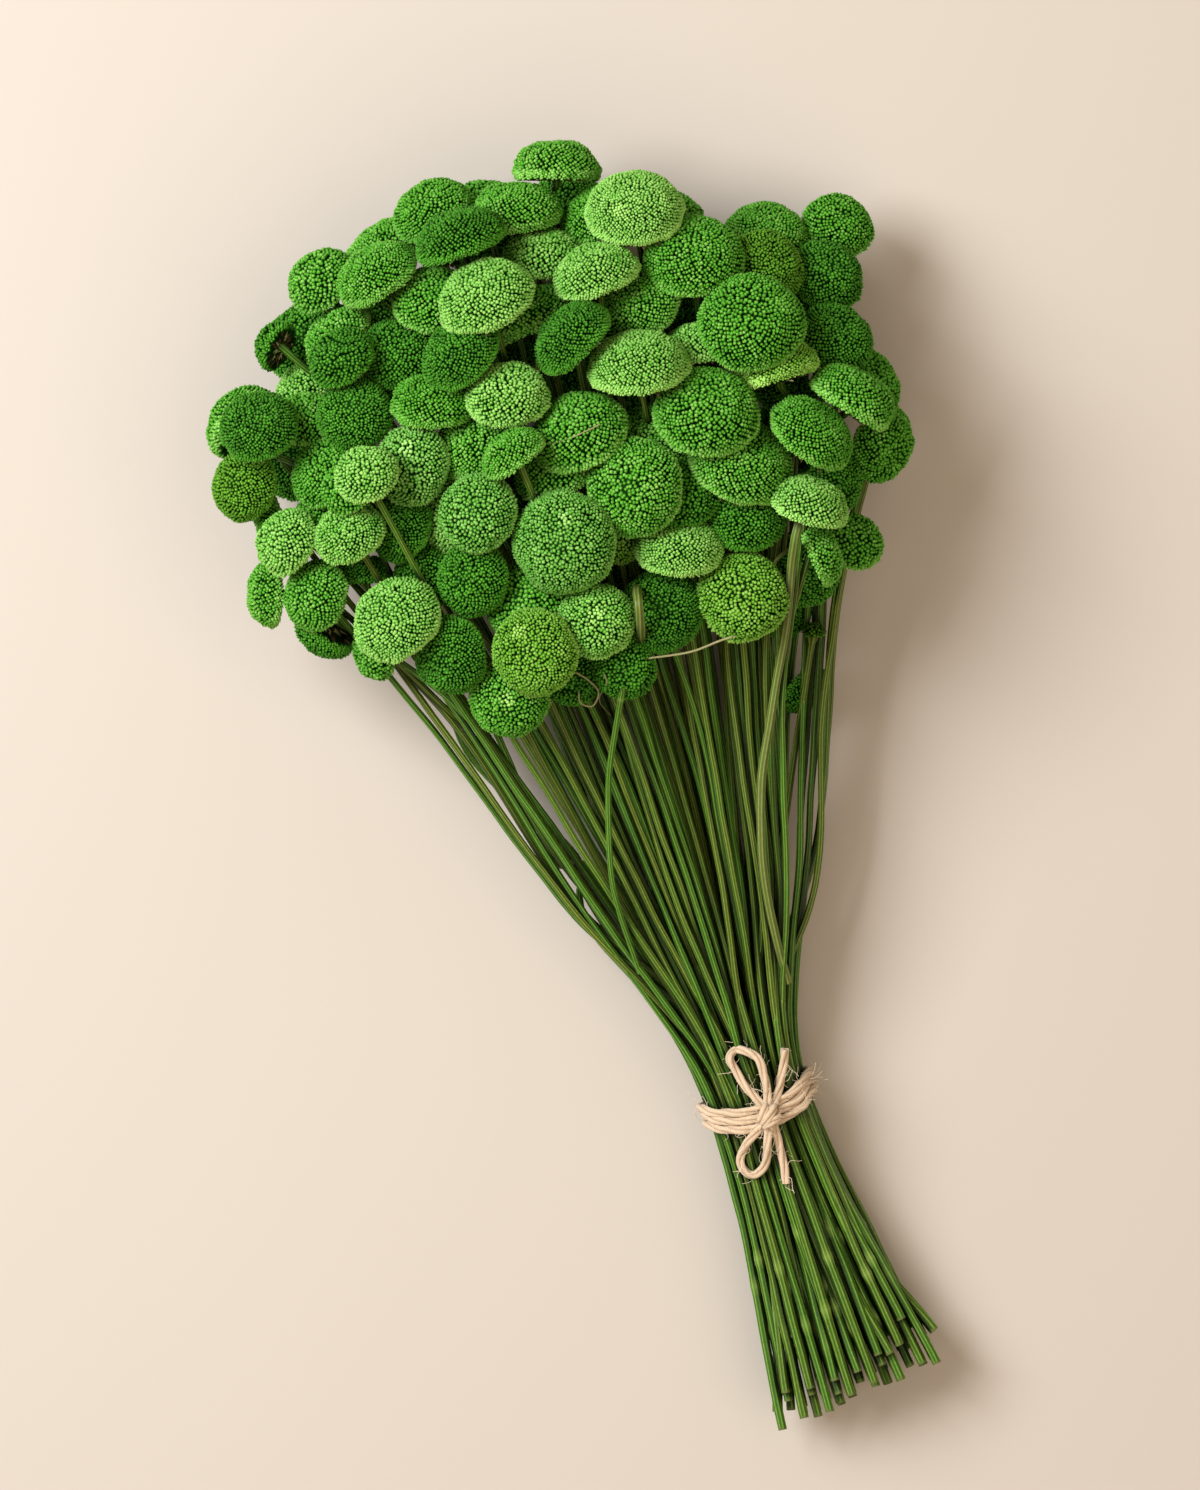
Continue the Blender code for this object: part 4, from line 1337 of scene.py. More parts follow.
    def florets(self, points: object) -> Socket:
        """Set several hundred florets over each head, in the turns that such heads grow in.

        Args:
            points: The heads' middles.

        Returns:
            The florets.
        """
        tree = self.tree
        florets, number = tree.copies(points, tree.read("florets", "INT"))
        seed, diameter = tree.read("seed"), tree.read("diameter")
        key = tree.slope(seed, self.floret_key, number)
        radius = tree.times(diameter, 0.5)
        share = tree.over(tree.plus(number, 0.5), tree.read("florets", "INT"))
        share = tree.math("POWER", share, self.crowding)
        stray = tree.times(tree.read("bead"), self.floret_spacing * self.disorder)
        stray = tree.over(stray, radius)
        polar = tree.math("ARCCOSINE", tree.slope(share, math.cos(self.last_polar) - 1.0, 1.0))
        polar = tree.slope(tree.chance(-1.0, 1.0, Draw.POLAR, key), stray, polar)
        polar = tree.math("MAXIMUM", polar, self.first_polar)
        cosine, sine = tree.math("COSINE", polar), tree.math("SINE", polar)
        turn = tree.slope(number, GOLDEN_TURN, seed)
        aside = tree.over(stray, tree.math("MAXIMUM", sine, self.least_sine))
        turn = tree.slope(tree.chance(-1.0, 1.0, Draw.TURN, key), aside, turn)
        east, north = tree.math("COSINE", turn), tree.math("SINE", turn)
        flat = tree.combine(tree.times(east, sine), tree.times(north, sine), cosine)
        spot = tree.vector("ADD", flat, tree.scaled(self.head_apart, seed))
        place, outward = self.on_head(spot, (east, north), (cosine, sine), radius)
        stand = tree.turn_to(tree.direction("facing"))
        world = tree.vector("ADD", tree.position(), tree.turned(place, stand))
        leans = (Draw.LEAN_ACROSS, Draw.LEAN_ALONG, Draw.LEAN_UP)
        lean = tree.combine(*(tree.chance(*self.floret_lean, draw, key) for draw in leans))
        way = tree.vector("NORMALIZE", tree.vector("ADD", tree.turned(outward, stand), lean))
        spins = (Draw.SPIN_ACROSS, Draw.SPIN_ALONG)
        spin = tree.combine(*(tree.chance(-1.0, 1.0, draw, key) for draw in spins), self.spin_rise)
        rim = tree.fit(cosine, *self.rim_reach)
        tall = tree.chance(*self.floret_tall, Draw.TALL, key)
        tall = tree.slope(rim, tree.size("Rim stretch"), tall)
        wide = tree.chance(*self.floret_wide, Draw.WIDE, key)
        wide = tree.times(wide, tree.fit(cosine, *self.top_width))
        florets = tree.store(florets, "shade", self.floret_light(spot, rim, world, key))
        florets = tree.store(florets, "way", way, "FLOAT_VECTOR")
        florets = tree.store(florets, "spin", spin, "FLOAT_VECTOR")
        florets = tree.put(tree.store(tree.store(florets, "tall", tall), "wide", wide), world)
        width = tree.times(tree.read("wide"), tree.size("Floret width"))
        width = tree.times(width, tree.read("bead"))
        height = tree.times(tree.read("tall"), tree.size("Floret height"))
        turned = tree.turn_to(tree.direction("way"), tree.direction("spin"))
        real = tree.plant(florets, self.floret_shape(), turned, (width, width, height))
        row = tree.plus(tree.read("family"), tree.slope(tree.read("tip"), *self.floret_rows))
        return self.marked(real, tree.read("shade"), tree.over(row, PALETTE_BANDS), Stuff.FLORET)

    def on_head(self, spot: object, ways: tuple, polar: tuple,
                radius: object) -> tuple[Socket, ...]:
        """Find a floret's place on its head, as if the head faced straight up.

        Args:
            spot: Where noises are read.
            ways: How far east and north the floret's turn looks.
            polar: Cosine and sine of its angle from the pole.
            radius: The head's radius.

        Returns:
            The floret's place from the head's middle, and the way that it looks.
        """
        tree = self.tree
        (east, north), (cosine, sine) = ways, polar
        swell = tree.slope(tree.noise(spot, self.swell_scale), *self.swell)
        lump = tree.slope(tree.noise(spot, self.lump_scale, 2.0, 0.5), *self.lump)
        reach = tree.times(tree.times(radius, tree.math("POWER", sine, self.shoulder)), swell)
        above = tree.times(tree.math("MAXIMUM", cosine, 0.0), tree.size("Crown"))
        below = tree.times(tree.math("MINIMUM", cosine, 0.0), tree.size("Underside"))
        rise = tree.minus(tree.plus(above, below), tree.size("Rim drop"))
        rise = tree.times(tree.times(rise, tree.read("diameter")), swell)
        rise = tree.minus(rise, tree.fit(sine, *self.dimple))
        place = tree.combine(tree.times(east, reach), tree.times(north, reach), rise)
        steep = tree.times(cosine, tree.fit(cosine, *self.steepness))
        outward = tree.combine(tree.times(east, sine), tree.times(north, sine), steep)
        outward = tree.vector("NORMALIZE", outward)
        return tree.vector("ADD", place, tree.scaled(outward, lump)), outward

    def floret_light(self, spot: object, rim: object, world: object,
                     key: object) -> Socket:
        """Work out how light a floret is.

        Args:
            spot: Where noises are read.
            rim: How near the floret is to the head's rim, from 0 to 1.
            world: Its place on the object.
            key: Its own number.

        Returns:
            Its light, from 0 to 1.
        """
        tree = self.tree
        stray = tree.chance(*self.light_stray, Draw.LIGHT, key)
        light = tree.slope(rim, self.rim_light, tree.plus(tree.read("light"), stray))
        light = tree.plus(light, tree.slope(tree.noise(spot, self.patch_scale), *self.patch_light))
        away = tree.vector("SUBTRACT", world, tree.direction("clump"))
        away = tree.vector("LENGTH", tree.vector("MULTIPLY", away, (1.0, 1.0, 0.0)))
        edge = tree.slope(tree.noise(spot, self.clump_scale), *self.clump_edge)
        share = tree.over(away, tree.times(tree.read("clump_reach"), edge))
        light = tree.slope(tree.fit(share, *self.clump_reach), self.clump_light, light)
        low, high = self.light_ends
        return tree.made("ShaderNodeClamp", {"Value": light, "Min": low, "Max": high})

    def floret_shape(self) -> Socket:
        """Shape one floret: a bead on a narrow foot, one unit wide and high.

        Returns:
            The floret's faces.
        """
        tree = self.tree
        cone = tree.cone(sides=4, rows=2, radius=1.0, foot="NONE")
        across, along, height = tree.split(tree.position())
        height = tree.math("POWER", height, self.floret_round)
        foot = tree.fit(height, *self.floret_foot)
        shape = tree.combine(across, along, height)
        shape = tree.vector("MULTIPLY", shape, tree.combine(foot, foot, 1.0))
        raised = tree.vector("ADD", shape, tree.combine(0.0, 0.0, -self.floret_sink))
        return tree.smooth(tree.put(tree.store(cone, "tip", height), raised))

    def cores(self, points: object) -> Socket:
        """Put the closed body of the head under its florets, dark in the florets' painted gap shade.

        Args:
            points: The heads' middles.

        Returns:
            The bodies.
        """
        tree = self.tree
        ball = tree.made("GeometryNodeMeshUVSphere", {"Segments": 20, "Rings": 12, "Radius": 1.0})
        across, along, height = tree.split(tree.position())
        low = tree.times(tree.math("MINIMUM", height, 0.0), self.underside / self.crown)
        high = tree.math("MAXIMUM", height, 0.0)
        height = tree.minus(tree.plus(low, high), self.rim_drop / self.crown)
        body = tree.smooth(tree.put(ball, tree.combine(across, along, height)))
        inner = tree.minus(tree.read("diameter"), self.core_inset)
        wide = tree.times(inner, self.core_width)
        tall = tree.times(inner, tree.times(tree.size("Crown"), self.core_height))
        real = tree.plant(points, body, tree.turn_to(tree.direction("facing")), (wide, wide, tall))
        # The core's place in the palette lies in the florets' painted gap shade.
        light, along_band = self.core_shade_place
        row = tree.over(tree.plus(tree.read("family"), along_band), PALETTE_BANDS)
        return self.marked(real, light, row, Stuff.FLORET)

    def bracts(self, points: object) -> Socket:
        """Lay dry bracts out under each head, from its neck to its rim.

        Args:
            points: The heads' middles.

        Returns:
            The bracts.
        """
        tree = self.tree
        bracts, number = tree.copies(points, self.bracts_per_head)
        seed, diameter = tree.read("seed"), tree.read("diameter")
        key = tree.slope(seed, self.bract_key, number)
        turn = tree.slope(number, GOLDEN_TURN, seed)
        east, north = tree.math("COSINE", turn), tree.math("SINE", turn)
        start = tree.times(diameter, tree.chance(*self.bract_start, Draw.BRACT_START, key))
        drop = tree.times(diameter, -(self.rim_drop + self.underside * self.bract_depth))
        place = tree.combine(tree.times(east, start), tree.times(north, start), drop)
        way = tree.combine(east, north, tree.chance(*self.bract_tilt, Draw.BRACT_TILT, key))
        stand = tree.turn_to(tree.direction("facing"))
        world = tree.vector("ADD", tree.position(), tree.turned(place, stand))
        long = tree.times(diameter, tree.chance(*self.bract_length, Draw.BRACT_LENGTH, key))
        light = tree.chance(*self.bract_light, Draw.BRACT_LIGHT, key)
        bracts = tree.store(bracts, "way", tree.turned(way, stand), "FLOAT_VECTOR")
        bracts = tree.store(bracts, "shade", light)
        bracts = tree.put(tree.store(bracts, "tall", long), world)
        leaf = tree.cone(sides=5, rows=3, radius=0.5, foot="NGON")
        leaf = tree.store(leaf, "tip", tree.split(tree.position())[2])
        leaf = tree.put(leaf, tree.vector("MULTIPLY", tree.position(), (1.0, self.bract_thin, 1.0)))
        way, tall = tree.direction("way"), tree.read("tall")
        turned = tree.turn_to(way, tree.vector("CROSS_PRODUCT", tree.direction("facing"), way))
        wide = tree.times(tall, self.bract_width)
        real = tree.plant(bracts, leaf, turned, (wide, wide, tall))
        row = tree.slope(tree.read("tip"), *(place / PALETTE_BANDS for place in self.bract_rows))
        return self.marked(real, tree.read("shade"), row, Stuff.BRACT)

    def stems(self, lines: object) -> Socket:
        """Sweep a ribbed round along each stem's line.

        Args:
            lines: The stems' lines.

        Returns:
            The stems.
        """
        tree = self.tree
        seed, along = tree.read("seed"), tree.read("along")
        curves = tree.curves_along(lines, tree.times(tree.size("Stem step"), tree.read("step")))
        spot = tree.vector("ADD", tree.position(), tree.scaled(self.stem_apart, seed))
        curves = tree.wander(curves, spot, self.sway_scale, self.stem_sway)
        swell = tree.slope(tree.noise(spot, self.thick_scale, 3.0), *self.thickness)
        thick = tree.times(tree.read("thick"), swell)
        joint = tree.slope(tree.math("FRACT", tree.times(seed, self.joint_key)), *self.joint_place)
        node = tree.fit(tree.math("ABSOLUTE", tree.minus(along, joint)), self.joint_reach, 0.0)
        curves = tree.store(curves, "node", node)
        thick = tree.times(thick, tree.slope(node, self.joint_swell, 1.0))
        twist = tree.minus(tree.times(seed, 2.0 * self.widest_twist), self.widest_twist)
        curves = tree.twist(curves, tree.times(along, twist))
        odd = tree.math("MODULO", tree.made("GeometryNodeInputIndex"), 2.0)
        push = tree.slope(odd, tree.size("Rib depth"), 1.0)
        ribbed = tree.put(tree.ring(self.stem_sides, 1.0), tree.scaled(tree.position(), push))
        around = tree.add("GeometryNodeSplineParameter").outputs["Factor"]
        ribbed = tree.store(tree.store(ribbed, "rib", odd), "around", around)
        tube = tree.sweep(curves, ribbed, thick)
        row = tree.slope(tree.folded(tree.read("around")), *self.stem_rows)
        row = tree.over(tree.plus(row, tree.read("strip")), tree.read("strips"))
        upper_half = tree.slope(row, 0.5, 0.5)
        return self.marked(tree.smooth(tube), along, upper_half, Stuff.STEM)

    def start_mesh(self, name: str, flowers: list[Flower]) -> bpy.types.Mesh:
        """Make the points and lines that the tree grows on.

        Args:
            name: Name of the mesh.
            flowers: The flowers of one solid.

        Returns:
            One vertex for each head and one line of vertices for each stem, with their values.
        """
        lines = Lines()
        for number, flower in enumerate(flowers):
            draw = random.Random(f"{name}{number}")
            seed = draw.random()
            family, light = flower.tone.value
            vivid = self.vivid_bead if flower.tone is Tone.VIVID else 0.0
            bead = draw.uniform(*self.beads) + vivid
            diameter = flower.diameter * self.fuller
            count = int(self.cover * (diameter / 2 / (self.floret_spacing * bead)) ** 2)
            light += draw.uniform(-self.head_stray, self.head_stray)
            shared = {
                "light": light, "family": family, "seed": seed, "diameter": diameter,
                "facing": flower.facing, "florets": count, "tint": draw.random(), "strip": number,
                "strips": len(flowers), "bead": bead, "clump": flower.clump,
                "clump_reach": flower.clump_reach, "dry": 0.0, "step": 1.0,
            }
            way = self.stem_way(flower)
            lengths = [(b - a).length for a, b in zip(way, way[1:])]
            whole = sum(lengths)
            runs = [sum(lengths[:n]) / whole for n in range(len(way))]
            radii = [self.cut_radius, self.tie_radius] + [self.fan_radius] * (len(way) - 5)
            radii += [self.neck_radius, self.neck_radius * self.neck_swell, self.flare_radius]
            rows = [{"is_head": False, "along": run, "thick": thick} for run, thick in zip(runs, radii)]
            lines.add([flower.middle], [{"is_head": True, "along": 0.0, "thick": 0.0}], shared)
            lines.add(way, rows, shared)
        return lines.mesh(name)

    def loose_mesh(self, name: str, stems: list["LooseStem"], ground: BVHTree) -> bpy.types.Mesh:
        """Make the lines of loose stems that lie on the bunch.

        Args:
            name: Name of the mesh.
            stems: The loose stems.
            ground: The surface that they lie on.

        Returns:
            The mesh of lines.
        """
        lines = Lines()
        for number, stem in enumerate(stems):
            way = stem.lie_on(ground)
            shared = {
                "is_head": False, "light": 0.5, "family": 0, "seed": 0.37 * number % 1.0,
                "diameter": MM, "facing": UP, "florets": 0, "tint": stem.tint, "strip": number,
                "strips": len(stems), "bead": 1.0, "clump": UP, "clump_reach": MM,
                "dry": stem.dry, "step": self.loose_step,
            }
            runs = [place / (len(way) - 1) for place in range(len(way))]
            rows = [{"along": run, "thick": stem.thick_at(run)} for run in runs]
            lines.add(way, rows, shared)
        return lines.mesh(name)

    def stem_way(self, flower: Flower) -> list[Vector]:
        """Draw a stem's way.

        Args:
            flower: The flower.

        Returns:
            The stem's places from its cut end up into its head.
        """
        below = (self.rim_drop + self.underside * self.stem_depth) * flower.diameter
        base = flower.middle - flower.facing * below
        way = list(reversed(flower.path))
        clear = self.neck_clear * self.flare_length
        while len(way) > self.least_way and (way[-1] - base).length < clear:
            way.pop()
        lean = (flower.facing + (base - way[-1]).normalized()).normalized()
        return way + [base - lean * self.flare_length, base]

    def grow_piece(self, name: str, lines: bpy.types.Mesh) -> bpy.types.Object:
        """Grow one piece that rides on the bunch.

        Args:
            name: The piece's name.
            lines: The points and lines that it grows on.

        Returns:
            The finished piece.
        """
        mesh = self.tree.grow(name, lines)
        piece = in_scene(name, mesh)
        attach(piece, BODY)
        LOG.info("%s: %d faces", name, len(mesh.polygons))
        return piece

    def dress_solid(self, name: str, flowers: list[Flower]) -> None:
        """Grow the piece that stands for one solid of flowers.

        Args:
            name: The solid's name.
            flowers: Its flowers.
        """
        lines = self.start_mesh(name + "_grown_lines", flowers)
        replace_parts(self.grow_piece(name + "_grown", lines), name)


def height_of(ground: BVHTree, spot: Vector) -> float:
    """Give a surface's height at a place of the ground plan, or zero where there is none."""
    hit = ground.ray_cast(Vector((spot.x, spot.y, 1.0)), -UP)[0]
    return hit.z if hit else 0.0


@dataclass(frozen=True)
class JuteFinish:
    """Soft jute twine: pale fibres with darker lines between them."""

    pale: tuple = (0.82, 0.68, 0.50)
    tan: tuple = (0.66, 0.49, 0.33)
    line: tuple = (0.34, 0.21, 0.12)
    fibre: tuple = (0.92, 0.80, 0.60)
    streak_scale: tuple = (220.0, 26.0, 1.0)
    streak_reach: tuple = (0.3, 0.7)
    line_scale: tuple = (700.0, 90.0, 1.0)
    line_reach: tuple = (0.33, 0.55, 0.45, 0.0)
    blotch_scale: float = 140.0
    blotch_reach: tuple = (0.45, 0.85, 0.0, 0.25)
    ply_groove_shade_share: float = 0.7
    streak_height: float = 0.6
    line_height: float = 0.4
    bump_depth: float = 0.18 * MM
    bump_strength: float = 0.8
    roughness: float = 0.85
    shine: float = 0.2
    sheen: float = 0.25
    sheen_roughness: float = 0.5

    def make(self) -> bpy.types.Material:
        """Make the material, whose streaks run with the twine's map.

        Returns:
            The material.
        """
        finish = Finish("jute_twine")
        place = finish.made("ShaderNodeUVMap", uv_map="lay")
        streak = finish.noise(finish.vector("MULTIPLY", place, self.streak_scale), 1.0, 4.0, 0.65)
        line = finish.noise(finish.vector("MULTIPLY", place, self.line_scale), 1.0, 2.0, 0.6)
        blotch = finish.noise(finish.object_place(), self.blotch_scale, 2.0)
        body = finish.mix(finish.fit(streak, *self.streak_reach), self.tan, self.pale)
        body = finish.mix(finish.fit(line, *self.line_reach), body, self.line)
        body = finish.mix(finish.fit(blotch, *self.blotch_reach), body, self.tan)
        # Painted shade in the grooves between the plies.
        body = finish.mix(finish.times(finish.read("groove"), self.ply_groove_shade_share), body, self.line)
        body = finish.mix(finish.read("loose"), body, self.fibre)
        height = finish.slope(streak, self.streak_height, finish.times(line, self.line_height))
        finish.bump(height, self.bump_depth, self.bump_strength)
        return finish.done(
            body, Roughness=self.roughness, Specular_IOR_Level=self.shine,
            Sheen_Weight=self.sheen, Sheen_Roughness=self.sheen_roughness,
        )


@dataclass
class Twine:
    """Three turns of jute round the stems, a knot and a bow, wound as three plies."""

    strand_radius: float = 1.3 * MM
    pitch: float = 2.75 * MM
    wraps: int = 3
    wrap_points: int = 72
    search_reach: float = 60.0 * MM
    stem_radius: float = 1.3 * MM
    evenings: int = 6
    top_of_turns: float = 0.0
    sag: float = 5.5 * MM
    knot_offset: Vector = field(default_factory=lambda: Vector((2.4, -5.3, 2.3)) * MM)
    knot_radius: float = 2.4 * MM
    knot_points: int = 20
    knot_wide: float = 1.1
    knot_tall: float = 0.85
    knot_turns: tuple = ((1.4, -1.9, 0.85), (0.9, 0.1, 1.15), (0.2, 2.0, 0.9))
    bow_lift: float = 2.3 * MM
    bow_reach: float = 9.0 * MM
    lay_length: float = 32.0 * MM
    step: float = 0.7 * MM
    sway: float = 0.7 * MM
    sway_scale: float = 150.0
    plies: int = 3
    ply_reach: float = 0.5
    ply_radius: float = 0.60
    ply_sides: int = 14
    ply_rib: tuple = (0.10, 0.95)
    # Range over which the painted shade between plies fades in.
    groove: tuple = (0.95, 0.55)
    lay_scale: tuple = (0.1, 10.0, 1.0)
    fibre_density: float = 42000.0
    fibre_seed: int = 5
    fibre_length: float = 3.6 * MM
    fibre_radius: float = 0.07 * MM
    fibre_tall: tuple = (0.4, 1.3)
    fibre_rise: tuple = (-0.6, 0.6)
    fibre_points: int = 6
    fibre_waves: float = 4.5
    fibre_wave: float = 0.28
    fibre_bend: float = 0.75
    fibre_lean: float = 1.3
    upper_loop: tuple = ((-0.6, 1.6), (-4.7, 5.9), (-9.3, 12.1), (-12.1, 17.4), (-10.2, 20.2),
                         (-6.4, 19.8), (-2.7, 16.4), (-1.0, 9.9), (-0.3, 2.2))
    lower_loop: tuple = ((-0.9, -1.6), (-5.4, -7.1), (-8.7, -13.3), (-7.4, -17.7),
                         (-4.0, -18.8), (-1.2, -15.2), (-0.4, -8.7), (0.0, -2.2))
    upper_tail: tuple = ((1.2, 2.0), (3.6, 10.5), (5.0, 20.5))
    lower_tail: tuple = ((0.9, -2.0), (3.4, -9.4), (5.6, -21.4))

    def stem_spots(self, stems: list[list[Vector]], station: float) -> list[Vector]:
        """Find where the stems cross one station of the tie.

        Args:
            stems: The way of each stem.
            station: Distance from the tie's middle, towards the heads.

        Returns:
            The middle of each stem there, from the tie's middle.
        """
        spots = []
        for way in stems:
            for low, high in zip(way, way[1:]):
                a = station_of(low) - station
                b = station_of(high) - station
                if a * b <= 0.0 and a != b:
                    spots.append(low.lerp(high, a / (a - b)) - TIE_MIDDLE)
        return [spot for spot in spots if spot.length < self.search_reach]

    def wrap_way(self, number: int, stems: list[list[Vector]]) -> list[Vector]:
        """Draw one turn tight round the stems.

        Args:
            number: Which turn it is, from 0.
            stems: The way of each stem.

        Returns:
            The closed way of the turn's middle line.
        """
        count = self.wrap_points
        reach, slips = [], []
        for step in range(count):
            angle = FULL_TURN * step / count
            slip = (number - 1) * self.pitch - self.sag * max(0.0, math.sin(angle)) ** 2
            out = ACROSS_STEMS * math.cos(angle) + UP * math.sin(angle)
            reach.append(max(spot.dot(out) for spot in self.stem_spots(stems, slip)))
            slips.append(slip)
        for _ in range(self.evenings):
            reach = [(reach[n - 1] + 2 * reach[n] + reach[(n + 1) % count]) / 4 for n in range(count)]
        way = []
        for step in range(count):
            angle = FULL_TURN * step / count
            out = reach[step] + self.stem_radius + self.strand_radius
            rise = (reach[(step + 1) % count] - reach[step - 1]) * count / (2 * FULL_TURN)
            across = out * math.cos(angle) - rise * math.sin(angle)
            height = TIE_MIDDLE.z + out * math.sin(angle) + rise * math.cos(angle)
            spot = TIE_MIDDLE + ALONG_STEMS * slips[step] + ACROSS_STEMS * across
            way.append(Vector((spot.x, spot.y, max(height, self.strand_radius))))
        return way

    def knot_middle(self) -> Vector:
        """Give the knot's middle, on top of the turns.

        Returns:
            The middle.
        """
        spot = TIE_MIDDLE + self.knot_offset
        return Vector((spot.x, spot.y, self.top_of_turns + self.knot_offset.z))

    def bow_way(self, outline: tuple, ground: BVHTree) -> list[Vector]:
        """Lay an outline of the bow over the stems and turns.

        Args:
            outline: Offsets from the knot, in millimetres.
            ground: The stems' surface.

        Returns:
            The way of the strand.
        """
        knot = self.knot_middle()
        way = []
        for dx, dy in outline:
            spot = knot + Vector((dx, dy, 0.0)) * MM
            rest = height_of(ground, spot) + self.strand_radius + self.bow_lift
            near = max(0.0, 1.0 - (Vector((dx, dy)).length * MM) / self.bow_reach)
            rest = max(rest, (knot.z - self.strand_radius) * near + rest * (1 - near))
            way.append(Vector((spot.x, spot.y, rest)))
        return way

    def knot_ways(self) -> list[list[Vector]]:
        """Draw the strands that cross in the knot.

        Returns:
            The closed ways of two tight turns and the bridge over them.
        """
        knot = self.knot_middle()
        ways = []
        for lean, shift, grow in self.knot_turns:
            side = (ACROSS_STEMS + ALONG_STEMS * lean).normalized()
            along = side.cross(UP).normalized()
            ring = []
            for step in range(self.knot_points):
                angle = FULL_TURN * step / self.knot_points
                out = side * (self.knot_wide * math.cos(angle))
                out += UP * (self.knot_tall * math.sin(angle))
                ring.append(knot + along * (shift * MM) + out * (self.knot_radius * grow))
            ways.append(ring)
        return ways

    def start_mesh(self, ground: BVHTree, stems: list[list[Vector]]) -> tuple[bpy.types.Mesh, float]:
        """Draw all ways of the twine as lines.

        Args:
            ground: The stems' surface.
            stems: The way of each stem.

        Returns:
            The mesh of lines, and the twine's whole length.
        """
        turns = [self.wrap_way(number, stems) for number in range(self.wraps)]
        knot_spot = (TIE_MIDDLE + self.knot_offset).xy
        upper = [spot for way in turns for spot in way if spot.z > TIE_MIDDLE.z]
        nearest = min(upper, key=lambda spot: (spot.xy - knot_spot).length)
        self.top_of_turns = nearest.z + self.strand_radius
        closed = turns + self.knot_ways()
        knot = self.knot_middle()
        bows = []
        for outline in (self.upper_loop, self.lower_loop):
            bows.append([knot] + self.bow_way(outline, ground) + [knot])
        for outline in (self.upper_tail, self.lower_tail):
            bows.append([knot] + self.bow_way(outline, ground))
        places, edges, length = [], [], 0.0
        for way, is_closed in [(way, True) for way in closed] + [(way, False) for way in bows]:
            first = len(places)
            places += way
            count = len(way)
            edges += [(first + n, first + n + 1) for n in range(count - 1)]
            if is_closed:
                edges.append((first + count - 1, first))
            pairs = zip(way, way[1:] + way[:1] if is_closed else way[1:])
            length += sum((b - a).length for a, b in pairs)
        mesh = bpy.data.meshes.new("twine_lines")
        mesh.from_pydata(places, edges, [])
        return mesh, length

    def make_tree(self) -> GrowTree:
        """Build the tree that sweeps three plies along the twine and sets stray fibres on it.

        Returns:
            The tree, with its sizes as named inputs.
        """
        tree = GrowTree("wind_twine", {
            "Strand radius": self.strand_radius, "Lay length": self.lay_length, "Step": self.step,
            "Fibre length": self.fibre_length, "Fibre radius": self.fibre_radius,
        })
        curves = tree.curves_along(tree.size("Geometry"), tree.size("Step"))
        curves = tree.wander(curves, tree.position(), self.sway_scale, self.sway)
        run = tree.add("GeometryNodeSplineParameter").outputs["Length"]
        turns = tree.over(run, tree.size("Lay length"))
        curves = tree.twist(tree.store(curves, "run", run), tree.times(turns, FULL_TURN))
        tube = tree.sweep(curves, self.profile(tree), tree.size("Strand radius"))
        lay = tree.combine(tree.folded(tree.read("ply_turn")), tree.read("run"), 0.0)
        tube = tree.store_map(tube, "lay", tree.vector("MULTIPLY", lay, self.lay_scale))
        tube = tree.smooth(tube)
        made = tree.store(tree.join(tube, self.fibres(tree, tube)), "stuff", Stuff.JUTE.value)
        tree.finish(made, {Stuff.JUTE: JuteFinish().make()})
        return tree

    def profile(self, tree: GrowTree) -> Socket:
        """Shape what is swept: three ribbed rounds side by side, one unit wide together.

        Args:
            tree: The tree that it is built in.

        Returns:
            The profile, with its turn and its painted shade in the grooves between plies stored on it.
        """
        odd = tree.math("MODULO", tree.made("GeometryNodeInputIndex"), 2.0)
        push = tree.slope(odd, *self.ply_rib)
        ply = tree.put(tree.ring(self.ply_sides, self.ply_radius), tree.scaled(tree.position(), push))
        ply = tree.store(ply, "ply_turn", tree.add("GeometryNodeSplineParameter").outputs["Factor"])
        profile = tree.plant(tree.ring(self.plies, self.ply_reach), ply)
        reach = tree.vector("LENGTH", tree.position())
        # Painted shade: darker towards the middle, where the plies meet.
        return tree.store(profile, "groove", tree.fit(reach, *self.groove))

    def fibres(self, tree: GrowTree, tube: object) -> Socket:
        """Stand stray fibres off the strands.

        Args:
            tree: The tree that it is built in.
            tube: The strands.

        Returns:
            The fibres.
        """
        inputs = {"Mesh": tube, "Density": self.fibre_density, "Seed": self.fibre_seed}
        spread = tree.add("GeometryNodeDistributePointsOnFaces", inputs, distribute_method="RANDOM")
        points = tree.store(spread.outputs[0], "out", spread.outputs["Normal"], "FLOAT_VECTOR")
        ends = {"Start": (0.0, 0.0, 0.0), "End": (0.0, 0.0, 1.0)}
        line = tree.made("GeometryNodeCurvePrimitiveLine", ends)
        inputs = {"Curve": line, "Count": self.fibre_points}
        line = tree.made("GeometryNodeResampleCurve", inputs, mode="COUNT")
        up = tree.split(tree.position())[2]
        curl = tree.times(tree.math("SINE", tree.times(up, self.fibre_waves)), self.fibre_wave)
        bend = tree.times(tree.math("POWER", up, 2.0), self.fibre_bend)
        line = tree.shift(line, tree.combine(bend, curl, 0.0))
        thick = tree.over(tree.size("Fibre radius"), tree.size("Fibre length"))
        hair = tree.sweep(line, tree.ring(3, 1.0), thick)
        tall = tree.chance(*self.fibre_tall, Draw.FIBRE_LENGTH)
        tall = tree.times(tree.size("Fibre length"), tall)
        side = tree.combine(
            tree.chance(-1.0, 1.0, Draw.FIBRE_ACROSS),
            tree.chance(-1.0, 1.0, Draw.FIBRE_ALONG),
            tree.chance(*self.fibre_rise, Draw.FIBRE_UP),
        )
